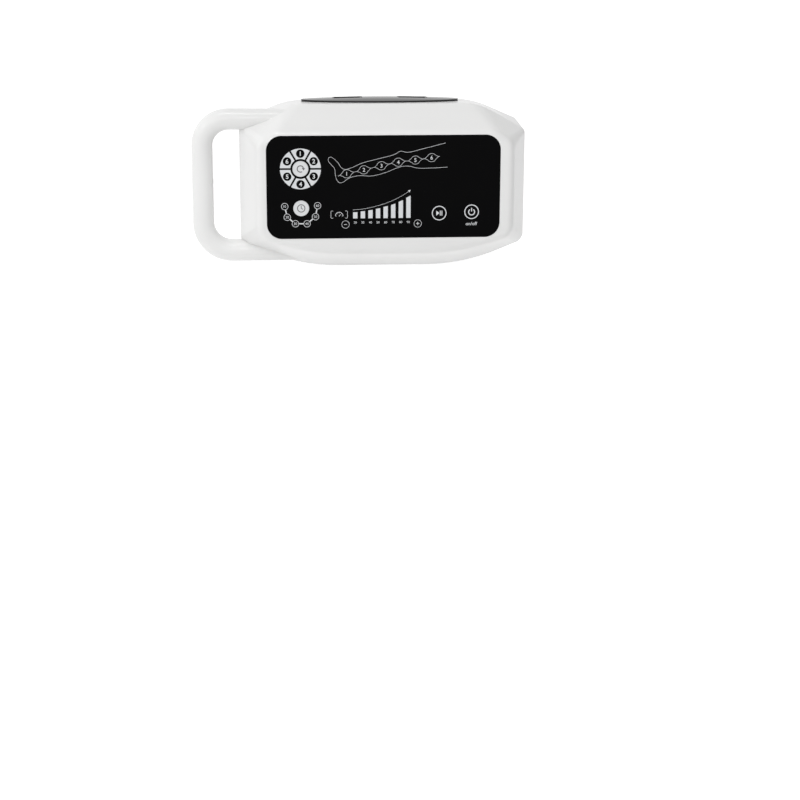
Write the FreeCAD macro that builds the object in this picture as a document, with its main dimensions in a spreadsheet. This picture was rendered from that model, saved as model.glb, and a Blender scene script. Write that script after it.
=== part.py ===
import FreeCAD, Part
import math
import os
import re

import Sketcher

# Compression therapy pump. Millimetres. +Z up, the key panel faces -Y, the handle is at -X.
# The origin is under the middle of the overall box, on the plane that the feet stand on.

V = FreeCAD.Vector

# Driving dimensions: one sheet cell each.
SIZES = {
    # moulded housing
    "body_width": 314.1,
    "body_height": 178.8,
    "front_depth": 55.0,
    "rear_depth": 62.0,
    "foot_stand": 1.5,
    "wall": 2.6,
    "shoulder_angle": 29.3,
    "skirt_angle": 21.8,
    "shoulder_drop": 29.0,
    "skirt_rise": 27.0,
    "shoulder_round": 50.0,
    "corner_round": 6.0,
    "heel_round": 12.0,
    "skirt_round": 212.0,
    "face_inset_side": 19.5,
    "face_inset_top": 24.6,
    "face_inset_bottom": 24.0,
    "face_shoulder_drop": 9.3,
    "face_skirt_rise": 17.2,
    "face_skirt_angle": 15.0,
    "face_shoulder_round": 25.0,
    "face_corner_round": 16.0,
    "face_heel_round": 18.0,
    "face_skirt_round": 230.0,
    "back_inset": 1.5,
    "back_top_inset": 1.5,
    "back_shoulder_drop": 22.0,
    "back_shoulder_angle": 22.5,
    "back_shoulder_round": 100.0,
    "back_corner_round": 7.0,
    "face_edge_round": 8.0,
    "parting_round": 5.0,
    "back_edge_round": 6.0,
    # carrying handle
    "handle_reach": 51.9,
    "handle_low": 9.1,
    "handle_drop": 5.3,
    "grip_width": 23.3,
    "grip_depth": 30.0,
    "top_bar_height": 20.8,
    "low_bar_height": 22.3,
    "grip_top_round": 40.5,
    "grip_bottom_round": 43.0,
    "bar_overlap": 71.6,
    "root_drop": 23.5,
    "root_angle": 22.0,
    "root_round": 8.0,
    # key panel
    "panel_shift": 2.4,
    "panel_lift": 6.8,
    "panel_width": 251.4,
    "panel_height": 110.6,
    "panel_thick": 2.0,
    "panel_round": 16.0,
    "panel_setback": 0.2,
    "panel_gap": 0.3,
    "pad_wall": 2.6,
    # keys
    "large_key": 8.4,
    "small_key": 4.7,
    "key_gap": 0.25,
    "key_travel": 0.8,
    "key_play": 0.05,
    "flange_lip": 1.2,
    "flange_thick": 1.0,
    "flange_gap": 0.4,
    "stem_radius": 2.0,
    "switch_reach": 5.0,
    "switch_slack": 0.15,
    "switch_side": 6.0,
    "button_radius": 1.7,
    "button_height": 1.0,
    # key board and lamps
    "board_gap": 11.5,
    "board_thick": 1.6,
    "key_board_width": 232.0,
    "key_board_height": 92.0,
    "board_post": 3.5,
    "board_screw": 1.2,
    "board_screw_head": 2.6,
    "board_screw_bite": 5.0,
    "board_hole_gap": 0.3,
    "post_inset_x": 8.0,
    "post_inset_z": 5.0,
    "lamp_window": 2.2,
    "lamp_radius": 1.4,
    "lamp_height": 4.5,
    "lamp_base": 3.2,
    "lamp_base_height": 1.2,
    "wheel_lamp_ring": 16.4,
    "timer_lamp_ring": 17.8,
    "bar_pitch": 8.17,
    # top plate and air sockets
    "plate_shift": 1.4,
    "plate_back": 34.0,
    "plate_length": 174.0,
    "plate_depth": 44.0,
    "plate_dome": 2.2,
    "plate_rim": 1.5,
    "plate_seat": 3.6,
    "plate_gap": 0.25,
    "ledge_width": 2.5,
    "ledge_skirt": 4.0,
    "ledge_thick": 2.5,
    "socket_apart": 72.0,
    "socket_back": 3.5,
    "socket_width": 32.0,
    "socket_depth": 17.0,
    "socket_proud": 1.0,
    "socket_wall": 1.6,
    "socket_gap": 0.2,
    "socket_sink": 11.0,
    "socket_lip": 2.0,
    "socket_lip_thick": 2.0,
    "nozzle_pitch": 9.5,
    "nozzle_row": 7.0,
    "nozzle_radius": 2.0,
    "nozzle_bore": 1.1,
    "nozzle_height": 8.0,
    "tail_length": 6.0,
    # screws, feet
    "screw_shank": 1.45,
    "screw_head": 3.2,
    "screw_head_high": 2.2,
    "screw_seat": 8.8,
    "screw_bite": 8.0,
    "pilot_gap": 0.1,
    "shank_gap": 0.35,
    "head_gap": 0.4,
    "boss_radius": 5.0,
    "boss_apart": 276.0,
    "boss_low": 50.0,
    "boss_drop": 45.3,
    "grip_boss_radius": 4.5,
    "grip_boss_low": 58.0,
    "grip_boss_drop": 40.3,
    "foot_radius": 7.0,
    "foot_gap": 0.1,
    "foot_apart": 110.0,
    "foot_front": 18.0,
    "foot_back": 49.5,
    "grip_screw_setback": 5.0,
    "grip_screw_sink": 3.0,
    "grip_screw_head": 1.5,
    # inside: what stands on the rear wall
    "deck": 6.0,
    "pump_x": 62.0,
    "pump_z": 50.0,
    "pump_plate_width": 124.0,
    "pump_plate_height": 72.0,
    "plate_metal": 2.0,
    "damper_radius": 5.0,
    "damper_high": 6.0,
    "damper_apart_x": 108.0,
    "damper_apart_z": 58.0,
    "core_width": 40.0,
    "core_height": 36.0,
    "core_depth": 20.0,
    "core_standoff": 7.9,
    "core_leg": 12.0,
    "core_window": 7.0,
    "core_yoke": 7.0,
    "coil_gap": 0.2,
    "coil_end": 6.0,
    "magnet_gap": 2.8,
    "magnet_thick": 4.7,
    "magnet_height": 14.0,
    "arm_thick": 4.0,
    "arm_depth": 16.0,
    "arm_drop": 12.0,
    "arm_rise": 30.0,
    "pin_radius": 1.5,
    "pin_gap": 0.05,
    "pin_overhang": 2.0,
    "stud_radius": 3.5,
    "stud_length": 4.0,
    "stud_rest": 1.5,
    "diaphragm_radius": 13.5,
    "diaphragm_thick": 3.0,
    "head_length": 16.0,
    "head_square": 32.0,
    "barb_radius": 3.0,
    "barb_bore": 1.6,
    "barb_length": 10.0,
    "supply_y": 34.0,
    "hose_wall": 1.4,
    "port_hose_wall": 1.0,
    "hose_slip": 0.1,
    # valves
    "valve_width": 118.0,
    "valve_height": 22.0,
    "valve_depth": 22.0,
    "valve_drop": 32.3,
    "valve_shift": 3.0,
    "valve_end": 14.0,
    "valve_coil_radius": 8.0,
    "valve_coil_length": 22.0,
    "plunger_radius": 3.0,
    "plunger_gap": 0.3,
    "plunger_length": 14.0,
    "plunger_travel": 1.5,
    # electronics on the rear wall
    "main_x": -70.0,
    "main_z": 78.0,
    "main_width": 72.0,
    "main_height": 84.0,
    "main_post_inset": 5.0,
    "can_radius": 6.0,
    "can_height": 20.0,
    "can_rise": 24.0,
    "plug_height": 8.0,
    "plug_width": 6.0,
    "plug_margin": 2.0,
    "sensor_x": 22.0,
    "sensor_side": 12.0,
    "sensor_height": 6.0,
    "sensor_port": 1.6,
    "sensor_port_reach": 8.0,
    "cable_width": 24.0,
    "cable_thick": 0.8,
    "cable_sag": 12.0,
    "cable_z": 66.0,
    "cable_x": 14.0,
    "trafo_x": 150.0,
    "trafo_z": 94.0,
    "trafo_width": 44.0,
    "trafo_height": 38.0,
    "trafo_depth": 20.0,
    "trafo_leg": 14.0,
    "trafo_window": 7.5,
    "trafo_yoke": 7.0,
    "trafo_coil_end": 6.0,
    "trafo_lift": 9.9,
    "trafo_foot": 4.0,
    # mains inlet and vents
    "inlet_x": 138.0,
    "inlet_z": 34.0,
    "inlet_width": 20.0,
    "inlet_height": 12.4,
    "inlet_length": 20.0,
    "inlet_lip": 3.0,
    "inlet_lip_thick": 1.0,
    "inlet_wall": 1.8,
    "inlet_mouth_round": 3.9,
    "inlet_sink": 15.0,
    "inlet_gap": 0.2,
    "inlet_pin_radius": 1.19,
    "inlet_pin_apart": 8.6,
    "inlet_pin_length": 10.0,
    "vent_width": 3.0,
    "vent_pitch": 8.0,
    "vent_height": 34.0,
}

# Places that several pieces share, as formulas of the sheet's names.
MID_X = "(handle_reach / 2)"
FACE_Y = "(0 - (front_depth + rear_depth) / 2)"
BACK_Y = "((front_depth + rear_depth) / 2)"
PART_Y = f"({FACE_Y} + front_depth)"
TOP_Z = "(foot_stand + body_height)"
PANEL_X = f"({MID_X} - panel_shift)"
PANEL_Z = "(foot_stand + body_height / 2 + panel_lift)"
PANEL_BACK = f"({FACE_Y} + panel_setback + panel_thick)"
BOARD_Y = f"({FACE_Y} + board_gap)"
WALL_Y = f"({BACK_Y} - wall)"
DECK_Y = f"({WALL_Y} - deck)"
PLATE_X = f"({PANEL_X} + plate_shift)"
PLATE_Y = f"({PART_Y} + plate_back)"
RIM_Z = f"({TOP_Z} + plate_rim)"
SOCKET_Y = f"({PLATE_Y} + socket_back)"
SOCKET_TOP = f"({RIM_Z} + socket_proud)"
SOCKET_FLOOR = f"({RIM_Z} - plate_seat - socket_sink)"
GRIP_X = f"({MID_X} - body_width / 2 - handle_reach + grip_width / 2)"

# From a key's stem to the button of its switch.
KEY_GAP = "(key_travel + switch_slack)"

# How far joined solids run into each other, and how far a cutting tool runs past a face.
LAP = 0.2
PAST = 1.0

# The least round of an inner corner, and what counts as the same place or direction.
LEAST_ROUND = 1.0
SAME_PLACE = 1e-4
SAME_WAY = 1e-6

# Keys: place from the panel's centre and the sheet name of the cap's radius.
KEYS = {
    "mode_key": (-89.35, 20.15, "large_key"),
    "time_key": (-88.9, -22.4, "large_key"),
    "minus_key": (-41.35, -40.35, "small_key"),
    "plus_key": (36.85, -40.05, "small_key"),
    "start_key": (60.05, -28.9, "large_key"),
    "power_key": (95.25, -27.8, "large_key"),
}
WHEEL_ANGLES = [30, 90, 150, 210, 270, 330]
TIMER_ANGLES = [9, 173, 212, 249, 290, 329]
BAR_START = (-30.75, -31.55)
BAR_COUNT = 8
VALVE_COUNT = 6
VALVE_POST_SHARE = 0.4
HOSE_BEND_SHARE = 0.6
VENT_ROWS = (("pump", "pump_x", "pump_z", 4), ("board", "main_x", "main_z", 3))
CAN_PLACES = (-22, -6, 10)
PLUGS = (("cable_x", "cable_z", "cable_width + plug_margin"), ("0 - 16", "main_z - 34", "20"),
         ("0 - 20", "main_z + 4", "16"))

doc = FreeCAD.newDocument("CompressionPump")
sheet = doc.addObject("Spreadsheet::Sheet", "Sizes")
for row, (name, value) in enumerate(SIZES.items(), 1):
    sheet.set(f"A{row}", name)
    sheet.set(f"B{row}", str(value))
    sheet.setAlias(f"B{row}", name)
doc.recompute()
size = {name: float(sheet.get(name)) for name in SIZES}
nodes = []


# ---------------------------------------------------------------- helpers

def bind(item, prop, formula):
    """Bind a property to a formula that is written with the sheet's names."""
    def cell(match):
        word = match.group(0)
        return f"Sizes.{word}" if word in SIZES else word
    item.setExpression(prop, re.sub(r"[a-z_]+", cell, str(formula)))


def place(item, spot):
    for axis, formula in zip("xyz", spot):
        bind(item, f"Placement.Base.{axis}", formula)
    return item


AIM = {
    "x": FreeCAD.Rotation(V(0, 1, 0), 90),
    "y": FreeCAD.Rotation(V(1, 0, 0), -90),
    "z": FreeCAD.Rotation(),
}


def block(label, low, lengths):
    """A box from its low corner."""
    made = doc.addObject("Part::Box", label)
    for prop, formula in zip(("Length", "Width", "Height"), lengths):
        bind(made, prop, formula)
    return place(made, low)


def slab(label, middle, lengths):
    """A box centred on a point in X and Z, from a low Y."""
    x, y, z = middle
    low = (f"{x} - ({lengths[0]}) / 2", y, f"{z} - ({lengths[2]}) / 2")
    return block(label, low, lengths)


def rod(label, start, axis, radius, length):
    made = doc.addObject("Part::Cylinder", label)
    made.Placement = FreeCAD.Placement(V(0, 0, 0), AIM[axis])
    bind(made, "Radius", radius)
    bind(made, "Height", length)
    return place(made, start)


def group(label, parts):
    made = doc.addObject("Part::Compound", label)
    made.Links = parts
    return made


def join(label, parts):
    made = doc.addObject("Part::MultiFuse", label)
    made.Shapes = parts
    return made


def cut(label, base, tools):
    made = doc.addObject("Part::Cut", label)
    made.Base = base
    made.Tool = tools[0] if len(tools) == 1 else group(f"{label}_tools", tools)
    return made


def common(label, base, tool):
    made = doc.addObject("Part::Common", label)
    made.Base = base
    made.Tool = tool
    return made


def feature(label, shape):
    made = doc.addObject("Part::Feature", label)
    made.Shape = shape
    return made


def edges_along(shape, axis):
    """Numbers of the straight edges that run along one axis."""
    found = []
    for number, edge in enumerate(shape.Edges, 1):
        if len(edge.Vertexes) == 2:
            run = edge.Vertexes[1].Point - edge.Vertexes[0].Point
            if abs(abs(getattr(run.normalize(), axis)) - 1) < SAME_WAY:
                found.append(number)
    return found


def round_edges(label, base, axis, radius):
    """A box with its edges along one axis rounded to a size of the sheet."""
    doc.recompute()
    made = doc.addObject("Part::Fillet", label)
    made.Base = base
    made.Edges = [(number, radius, radius) for number in edges_along(base.Shape, axis)]
    return made


def body(label, spot):
    made = doc.addObject("PartDesign::Body", label)
    place(made, spot)
    return made


def sketch(owner, role, lift="0"):
    """A sketch on one of the body's origin planes, lifted along its normal."""
    plane = [item for item in owner.Origin.OriginFeatures if item.Role == role][0]
    made = owner.newObject("Sketcher::SketchObject", f"{owner.Label}_sketch")
    made.AttachmentSupport = [(plane, "")]
    made.MapMode = "FlatFace"
    bind(made, "AttachmentOffset.Base.z", lift)
    return made


def fix(drawn, kind, geometry, point, formula):
    """A driving distance from the sketch's origin to a point."""
    rule = drawn.addConstraint(Sketcher.Constraint(kind, -1, 1, geometry, point, 1.0))
    bind(drawn, f"Constraints[{rule}]", formula)


def circle(drawn, x, y, radius):
    index = drawn.addGeometry(Part.Circle(V(0, 0, 0), V(0, 0, 1), 1), False)
    fix(drawn, "DistanceX", index, 3, x)
    fix(drawn, "DistanceY", index, 3, y)
    rule = drawn.addConstraint(Sketcher.Constraint("Radius", index, 1.0))
    bind(drawn, f"Constraints[{rule}]", radius)


def rectangle(drawn, x, y, width, height):
    """A rectangle centred on (x, y)."""
    corners = [V(-1, -1, 0), V(1, -1, 0), V(1, 1, 0), V(-1, 1, 0)]
    lines = []
    for start, end in zip(corners, corners[1:] + corners[:1]):
        lines.append(drawn.addGeometry(Part.LineSegment(start, end), False))
    for line, after in zip(lines, lines[1:] + lines[:1]):
        drawn.addConstraint(Sketcher.Constraint("Coincident", line, 2, after, 1))
    for turn, line in enumerate(lines):
        kind = "Vertical" if turn % 2 else "Horizontal"
        drawn.addConstraint(Sketcher.Constraint(kind, line))
    fix(drawn, "DistanceX", lines[0], 1, f"({x}) - ({width}) / 2")
    fix(drawn, "DistanceY", lines[0], 1, f"({y}) - ({height}) / 2")
    fix(drawn, "DistanceX", lines[2], 1, f"({x}) + ({width}) / 2")
    fix(drawn, "DistanceY", lines[2], 1, f"({y}) + ({height}) / 2")


def solid_step(owner, kind, drawn, length, reverse=False, both=False):
    """A Pad or Pocket of one sketch."""
    made = owner.newObject(f"PartDesign::{kind}", f"{owner.Label}_{kind.lower()}")
    made.Profile = drawn
    bind(made, "Length", length)
    made.Reversed = reverse
    made.Midplane = both
    drawn.Visibility = False
    return made


def node(made):
    nodes.append(made)
    return made


# ---------------------------------------------------------------- housing forms

def rounded_loop(points, rounds):
    """A closed wire through a convex polygon whose corners are arcs."""
    corners = []
    for index, point in enumerate(points):
        before = (points[index - 1] - point).normalize()
        after = (points[(index + 1) % len(points)] - point).normalize()
        half = before.getAngle(after) / 2
        reach = rounds[index] / math.tan(half)
        inward = (before + after).normalize()
        middle = point + inward * (rounds[index] / math.sin(half) - rounds[index])
        corners.append((point + before * reach, middle, point + after * reach))
    edges = []
    for corner, following in zip(corners, corners[1:] + corners[:1]):
        edges.append(Part.Arc(*corner).toShape())
        edges.append(Part.LineSegment(corner[2], following[0]).toShape())
    return Part.Wire(edges)


def loaf_corners(width, low, high, shoulder, root, skirt):
    """The eight corners of the body's outline, as (x, z) from its middle.

    Each slope is a pair: its height and its angle in degrees.
    """
    def run(pair):
        return pair[0] / math.tan(math.radians(pair[1]))

    half = width / 2
    return [(half - run(shoulder), high), (half, high - shoulder[0]),
            (half, low + skirt[0]), (half - run(skirt), low),
            (run(skirt) - half, low), (-half, low + skirt[0]),
            (-half, high - root[0]), (run(root) - half, high)]


def slope(height, angle):
    return size[height], size[angle]


def section(share):
    """Corners and rounds between the flat face (share 0) and the parting plane (share 1)."""
    low = size["foot_stand"]
    high = low + size["body_height"]
    wide = loaf_corners(size["body_width"], low, high, slope("shoulder_drop", "shoulder_angle"),
                        slope("root_drop", "root_angle"), slope("skirt_rise", "skirt_angle"))
    face_shoulder = slope("face_shoulder_drop", "shoulder_angle")
    narrow = loaf_corners(size["body_width"] - 2 * size["face_inset_side"],
                          low + size["face_inset_bottom"], high - size["face_inset_top"],
                          face_shoulder, face_shoulder,
                          slope("face_skirt_rise", "face_skirt_angle"))
    right = [size[name] for name in ("shoulder_round", "corner_round", "heel_round",
                                     "skirt_round")]
    wide_rounds = right + right[:1:-1] + [size["root_round"], right[0]]
    right = [size[name] for name in ("face_shoulder_round", "face_corner_round",
                                     "face_heel_round", "face_skirt_round")]
    narrow_rounds = right + right[::-1]
    points = [(a[0] + (b[0] - a[0]) * share, a[1] + (b[1] - a[1]) * share)
              for a, b in zip(narrow, wide)]
    return points, [a + (b - a) * share for a, b in zip(narrow_rounds, wide_rounds)]


def back_section():
    """Corners and rounds of the rear face."""
    inset = size["back_inset"]
    low = size["foot_stand"] + inset
    high = size["foot_stand"] + size["body_height"] - size["back_top_inset"]
    shoulder = slope("back_shoulder_drop", "back_shoulder_angle")
    points = loaf_corners(size["body_width"] - 2 * inset, low, high, shoulder, shoulder,
                          slope("skirt_rise", "skirt_angle"))
    rounds = [size[name] for name in ("back_shoulder_round", "back_corner_round",
                                      "heel_round", "skirt_round")]
    return points, rounds + rounds[::-1]


def outline(shape, y, inset=0.0):
    """The wire of a section at one depth, moved inward by a wall."""
    points, rounds = shape
    points = [V(x + size["handle_reach"] / 2, y, z) for x, z in points]
    moved = []
    for index, point in enumerate(points):
        before = (point - points[index - 1]).normalize()
        after = (points[(index + 1) % len(points)] - point).normalize()
        inward_a = V(before.z, 0, -before.x)
        inward_b = V(after.z, 0, -after.x)
        moved.append(point + (inward_a + inward_b) * (inset / (1 + inward_a.dot(inward_b))))
    return rounded_loop(moved, [max(radius - inset, LEAST_ROUND) for radius in rounds])


def edges_at(shape, y):
    return [edge for edge in shape.Edges
            if all(abs(corner.Point.y - y) < SAME_PLACE for corner in edge.Vertexes)]


def obround(middle, across, radius, flat):
    """A closed wire round a flat-sided oval that is longest along Y; across is its short way."""
    deep = V(0, 1, 0)
    ring = [middle - deep * flat + across * radius, middle + deep * flat + across * radius,
            middle + deep * (flat + radius), middle + deep * flat - across * radius,
            middle - deep * flat - across * radius, middle - deep * (flat + radius)]
    return Part.Wire([
        Part.LineSegment(ring[0], ring[1]).toShape(),
        Part.Arc(ring[1], ring[2], ring[3]).toShape(),
        Part.LineSegment(ring[3], ring[4]).toShape(),
        Part.Arc(ring[4], ring[5], ring[0]).toShape(),
    ])


def handle_tube(trim):
    """The handle loop: an oval swept round the bars and the grip, thinner by trim."""
    mid_y = face_y + size["front_depth"]
    grip, top, low = (size[name] / 2 for name in ("grip_width", "top_bar_height",
                                                  "low_bar_height"))
    side_x = size["handle_reach"] / 2 - size["body_width"] / 2
    grip_x = side_x - size["handle_reach"] + grip
    end_x = side_x + size["bar_overlap"]
    top_z = size["foot_stand"] + size["body_height"] - size["handle_drop"] - top
    low_z = size["handle_low"] + low
    top_bend = size["grip_top_round"] - grip
    low_bend = size["grip_bottom_round"] - grip
    points = [V(grip_x + top_bend, mid_y, top_z), V(grip_x, mid_y, top_z - top_bend),
              V(grip_x, mid_y, low_z + low_bend), V(grip_x + low_bend, mid_y, low_z)]
    near = 1 - math.sqrt(0.5)
    top_mid = V(grip_x + top_bend * near, mid_y, top_z - top_bend * near)
    low_mid = V(grip_x + low_bend * near, mid_y, low_z + low_bend * near)
    spine = Part.Wire([
        Part.LineSegment(V(end_x, mid_y, top_z), points[0]).toShape(),
        Part.Arc(points[0], top_mid, points[1]).toShape(),
        Part.LineSegment(points[1], points[2]).toShape(),
        Part.Arc(points[2], low_mid, points[3]).toShape(),
        Part.LineSegment(points[3], V(end_x, mid_y, low_z)).toShape(),
    ])
    half_depth = size["grip_depth"] / 2
    rings = [obround(V(end_x, mid_y, top_z), V(0, 0, 1), top - trim, half_depth - top),
             obround((points[1] + points[2]) / 2, V(-1, 0, 0), grip - trim, half_depth - grip),
             obround(V(end_x, mid_y, low_z), V(0, 0, -1), low - trim, half_depth - low)]
    return spine.makePipeShell(rings, True, False)


def outer_form():
    """The barrel-shaped body with softened edges and the handle loop grown into it."""
    part_y = face_y + size["front_depth"]
    face = outline(section(0), face_y)
    widest = outline(section(1), part_y)
    back = outline(back_section(), back_y)
    form = Part.makeLoft([face, widest], True, True)
    form = form.fuse(Part.makeLoft([widest, back], True, True))
    for depth, name in ((face_y, "face_edge_round"), (back_y, "back_edge_round"),
                        (part_y, "parting_round")):
        form = form.makeFillet(size[name], edges_at(form, depth))
    return form.fuse(handle_tube(0.0))


def inner_form():
    """The hollow inside the housing and the handle."""
    part_y = face_y + size["front_depth"]
    front_wall = size["panel_setback"] + size["panel_thick"] + size["pad_wall"]
    share = front_wall / size["front_depth"]
    lean = size["face_inset_top"] / size["front_depth"]
    inset = size["wall"] * math.sqrt(1 + lean * lean)
    face = outline(section(share), face_y + front_wall, inset)
    widest = outline(section(1), part_y, inset)
    back = outline(back_section(), back_y - size["wall"], inset)
    form = Part.makeLoft([face, widest], True, True)
    form = form.fuse(Part.makeLoft([widest, back], True, True))
    return form.fuse(handle_tube(size["wall"]))


face_y = -(size["front_depth"] + size["rear_depth"]) / 2
back_y = -face_y
outer = outer_form()
shell = outer.cut(inner_form())
reach = 2 * size["body_width"]
ahead = Part.makeBox(2 * reach, reach, 2 * reach,
                     V(-reach, face_y + size["front_depth"] - reach, -reach))
outer_solid = feature("outer_form", outer)
front_shell = feature("front_shell", shell.common(ahead))
rear_shell = feature("rear_shell", shell.cut(ahead))


# ---------------------------------------------------------------- shared rows of places

def key_spot(name):
    x, z, radius = KEYS[name]
    return f"{PANEL_X} + ({x})", f"{PANEL_Z} + ({z})", radius


def ring_spots(name, ring, angles):
    x, z, radius = key_spot(name)
    spots = []
    for angle in angles:
        turn = math.radians(angle)
        spots.append((f"{x} + {ring} * ({math.cos(turn):.4f})",
                      f"{z} + {ring} * ({math.sin(turn):.4f})"))
    return spots


def lamp_spots():
    """Places of the lamps behind the panel: mode wheel, timer ring, pressure bars."""
    bars = [(f"{PANEL_X} + ({BAR_START[0]}) + {index} * bar_pitch",
             f"{PANEL_Z} + ({BAR_START[1]})") for index in range(BAR_COUNT)]
    return (ring_spots("mode_key", "wheel_lamp_ring", WHEEL_ANGLES)
            + ring_spots("time_key", "timer_lamp_ring", TIMER_ANGLES) + bars)


def board_posts():
    """Places of the posts that carry the key board."""
    spots = []
    for side in (-1, 0, 1):
        for level in (-1, 1):
            spots.append((f"{PANEL_X} + ({side}) * (key_board_width / 2 - post_inset_x)",
                          f"{PANEL_Z} + ({level}) * (key_board_height / 2 - post_inset_z)"))
    return spots


def body_screws():
    spots = []
    for side in (-1, 1):
        for level in ("boss_low", f"{TOP_Z} - boss_drop"):
            spots.append((f"{MID_X} + ({side}) * boss_apart / 2", level))
    return spots


def grip_screws():
    return [(GRIP_X, "grip_boss_low"), (GRIP_X, f"{TOP_Z} - grip_boss_drop")]


def dampers():
    spots = []
    for side in (-1, 1):
        for level in (-1, 1):
            spots.append((f"pump_x + ({side}) * damper_apart_x / 2",
                          f"pump_z + ({level}) * damper_apart_z / 2"))
    return spots


def main_posts():
    spots = []
    for side in (-1, 1):
        for level in (-1, 1):
            spots.append((f"main_x + ({side}) * (main_width / 2 - main_post_inset)",
                          f"main_z + ({level}) * (main_height / 2 - main_post_inset)"))
    return spots


def nozzles(side):
    """Places of one socket's six nozzles."""
    spots = []
    for column in (-1, 0, 1):
        for line in (-0.5, 0.5):
            spots.append((f"{PLATE_X} + ({side}) * socket_apart / 2 + ({column}) * nozzle_pitch",
                          f"{SOCKET_Y} + ({line}) * nozzle_row"))
    return spots


VALVE_TOP = f"({TOP_Z} - valve_drop)"
VALVE_Z = f"({VALVE_TOP} - valve_height / 2)"
VALVE_Y = f"({SOCKET_Y} - valve_depth / 2 + valve_shift)"
IN_WALL = "(wall * 0.7)"
GRIP_BOSS = f"(grip_depth / 2 - {IN_WALL})"
GRIP_SCREW_Y = f"({PART_Y} - grip_screw_setback)"
GRIP_INNER = f"({GRIP_X} + grip_width / 2)"


# ---------------------------------------------------------------- housing pieces

def front_housing():
    columns = []
    for index, (x, z) in enumerate(body_screws()):
        columns.append(rod(f"front_boss_{index}", (x, FACE_Y, z), "y", "boss_radius",
                           "front_depth"))
    adds = [common("front_bosses", outer_solid, group("front_boss_rods", columns))]
    for index, (x, z) in enumerate(grip_screws()):
        adds.append(rod(f"front_grip_boss_{index}", (x, f"{PART_Y} - {GRIP_BOSS}", z), "y",
                        "grip_boss_radius", GRIP_BOSS))
    adds.append(rod("grip_screw_boss", (f"{GRIP_X} - grip_width / 2 + {IN_WALL}", GRIP_SCREW_Y,
                                        PANEL_Z), "x", "grip_boss_radius",
                    f"grip_width - 2 * {IN_WALL}"))
    for index, (x, z) in enumerate(board_posts()):
        adds.append(rod(f"board_post_{index}", (x, f"{PANEL_BACK} + pad_wall / 2", z), "y",
                        "board_post", f"{BOARD_Y} - ({PANEL_BACK} + pad_wall / 2)"))
    shell_with = join("front_joined", [front_shell] + adds)
    recess = slab("panel_recess", (PANEL_X, f"{FACE_Y} - {PAST}", PANEL_Z),
                  ("panel_width + 2 * panel_gap", f"{PAST} + panel_setback + panel_thick",
                   "panel_height + 2 * panel_gap"))
    cuts = [round_edges("panel_recess_round", recess, "y", size["panel_round"] + size["panel_gap"])]
    for name in KEYS:
        x, z, radius = key_spot(name)
        cuts.append(rod(f"{name}_well", (x, f"{PANEL_BACK} - {PAST}", z), "y",
                        f"{radius} + flange_lip + flange_gap", f"pad_wall + 3 * {PAST}"))
    for index, (x, z) in enumerate(lamp_spots()):
        cuts.append(rod(f"lamp_window_{index}", (x, f"{PANEL_BACK} - {PAST}", z), "y",
                        "lamp_window", f"pad_wall + 3 * {PAST}"))
    for index, (x, z) in enumerate(board_posts()):
        cuts.append(rod(f"board_pilot_{index}", (x, f"{BOARD_Y} - board_screw_bite - {LAP}", z),
                        "y", "board_screw + pilot_gap", f"board_screw_bite + {PAST}"))
    for index, (x, z) in enumerate(body_screws() + grip_screws()):
        cuts.append(rod(f"front_pilot_{index}", (x, f"{PART_Y} - screw_bite - {PAST}", z), "y",
                        "screw_shank + pilot_gap", f"screw_bite + 2 * {PAST}"))
    cuts.append(rod("grip_screw_mouth", (f"{GRIP_INNER} - grip_screw_sink", GRIP_SCREW_Y, PANEL_Z),
                    "x", "screw_head + pilot_gap", f"grip_screw_sink + {PAST}"))
    cuts.append(rod("grip_screw_pilot", (f"{GRIP_INNER} - grip_screw_sink - screw_bite - {PAST}",
                                         GRIP_SCREW_Y, PANEL_Z),
                    "x", "screw_shank + pilot_gap", f"screw_bite + 2 * {PAST}"))
    node(cut("front_housing", shell_with, cuts))


def ellipse_prism(label, extra, low, high):
    """An upright elliptic prism, larger than the top plate by extra."""
    ring = doc.addObject("Part::Ellipse", f"{label}_ring")
    bind(ring, "MajorRadius", f"plate_length / 2 + ({extra})")
    bind(ring, "MinorRadius", f"plate_depth / 2 + ({extra})")
    place(ring, (PLATE_X, PLATE_Y, low))
    made = doc.addObject("Part::Extrusion", label)
    made.Base = ring
    made.DirMode = "Custom"
    made.Dir = V(0, 0, 1)
    made.Solid = True
    bind(made, "LengthFwd", f"({high}) - ({low})")
    return made


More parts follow.
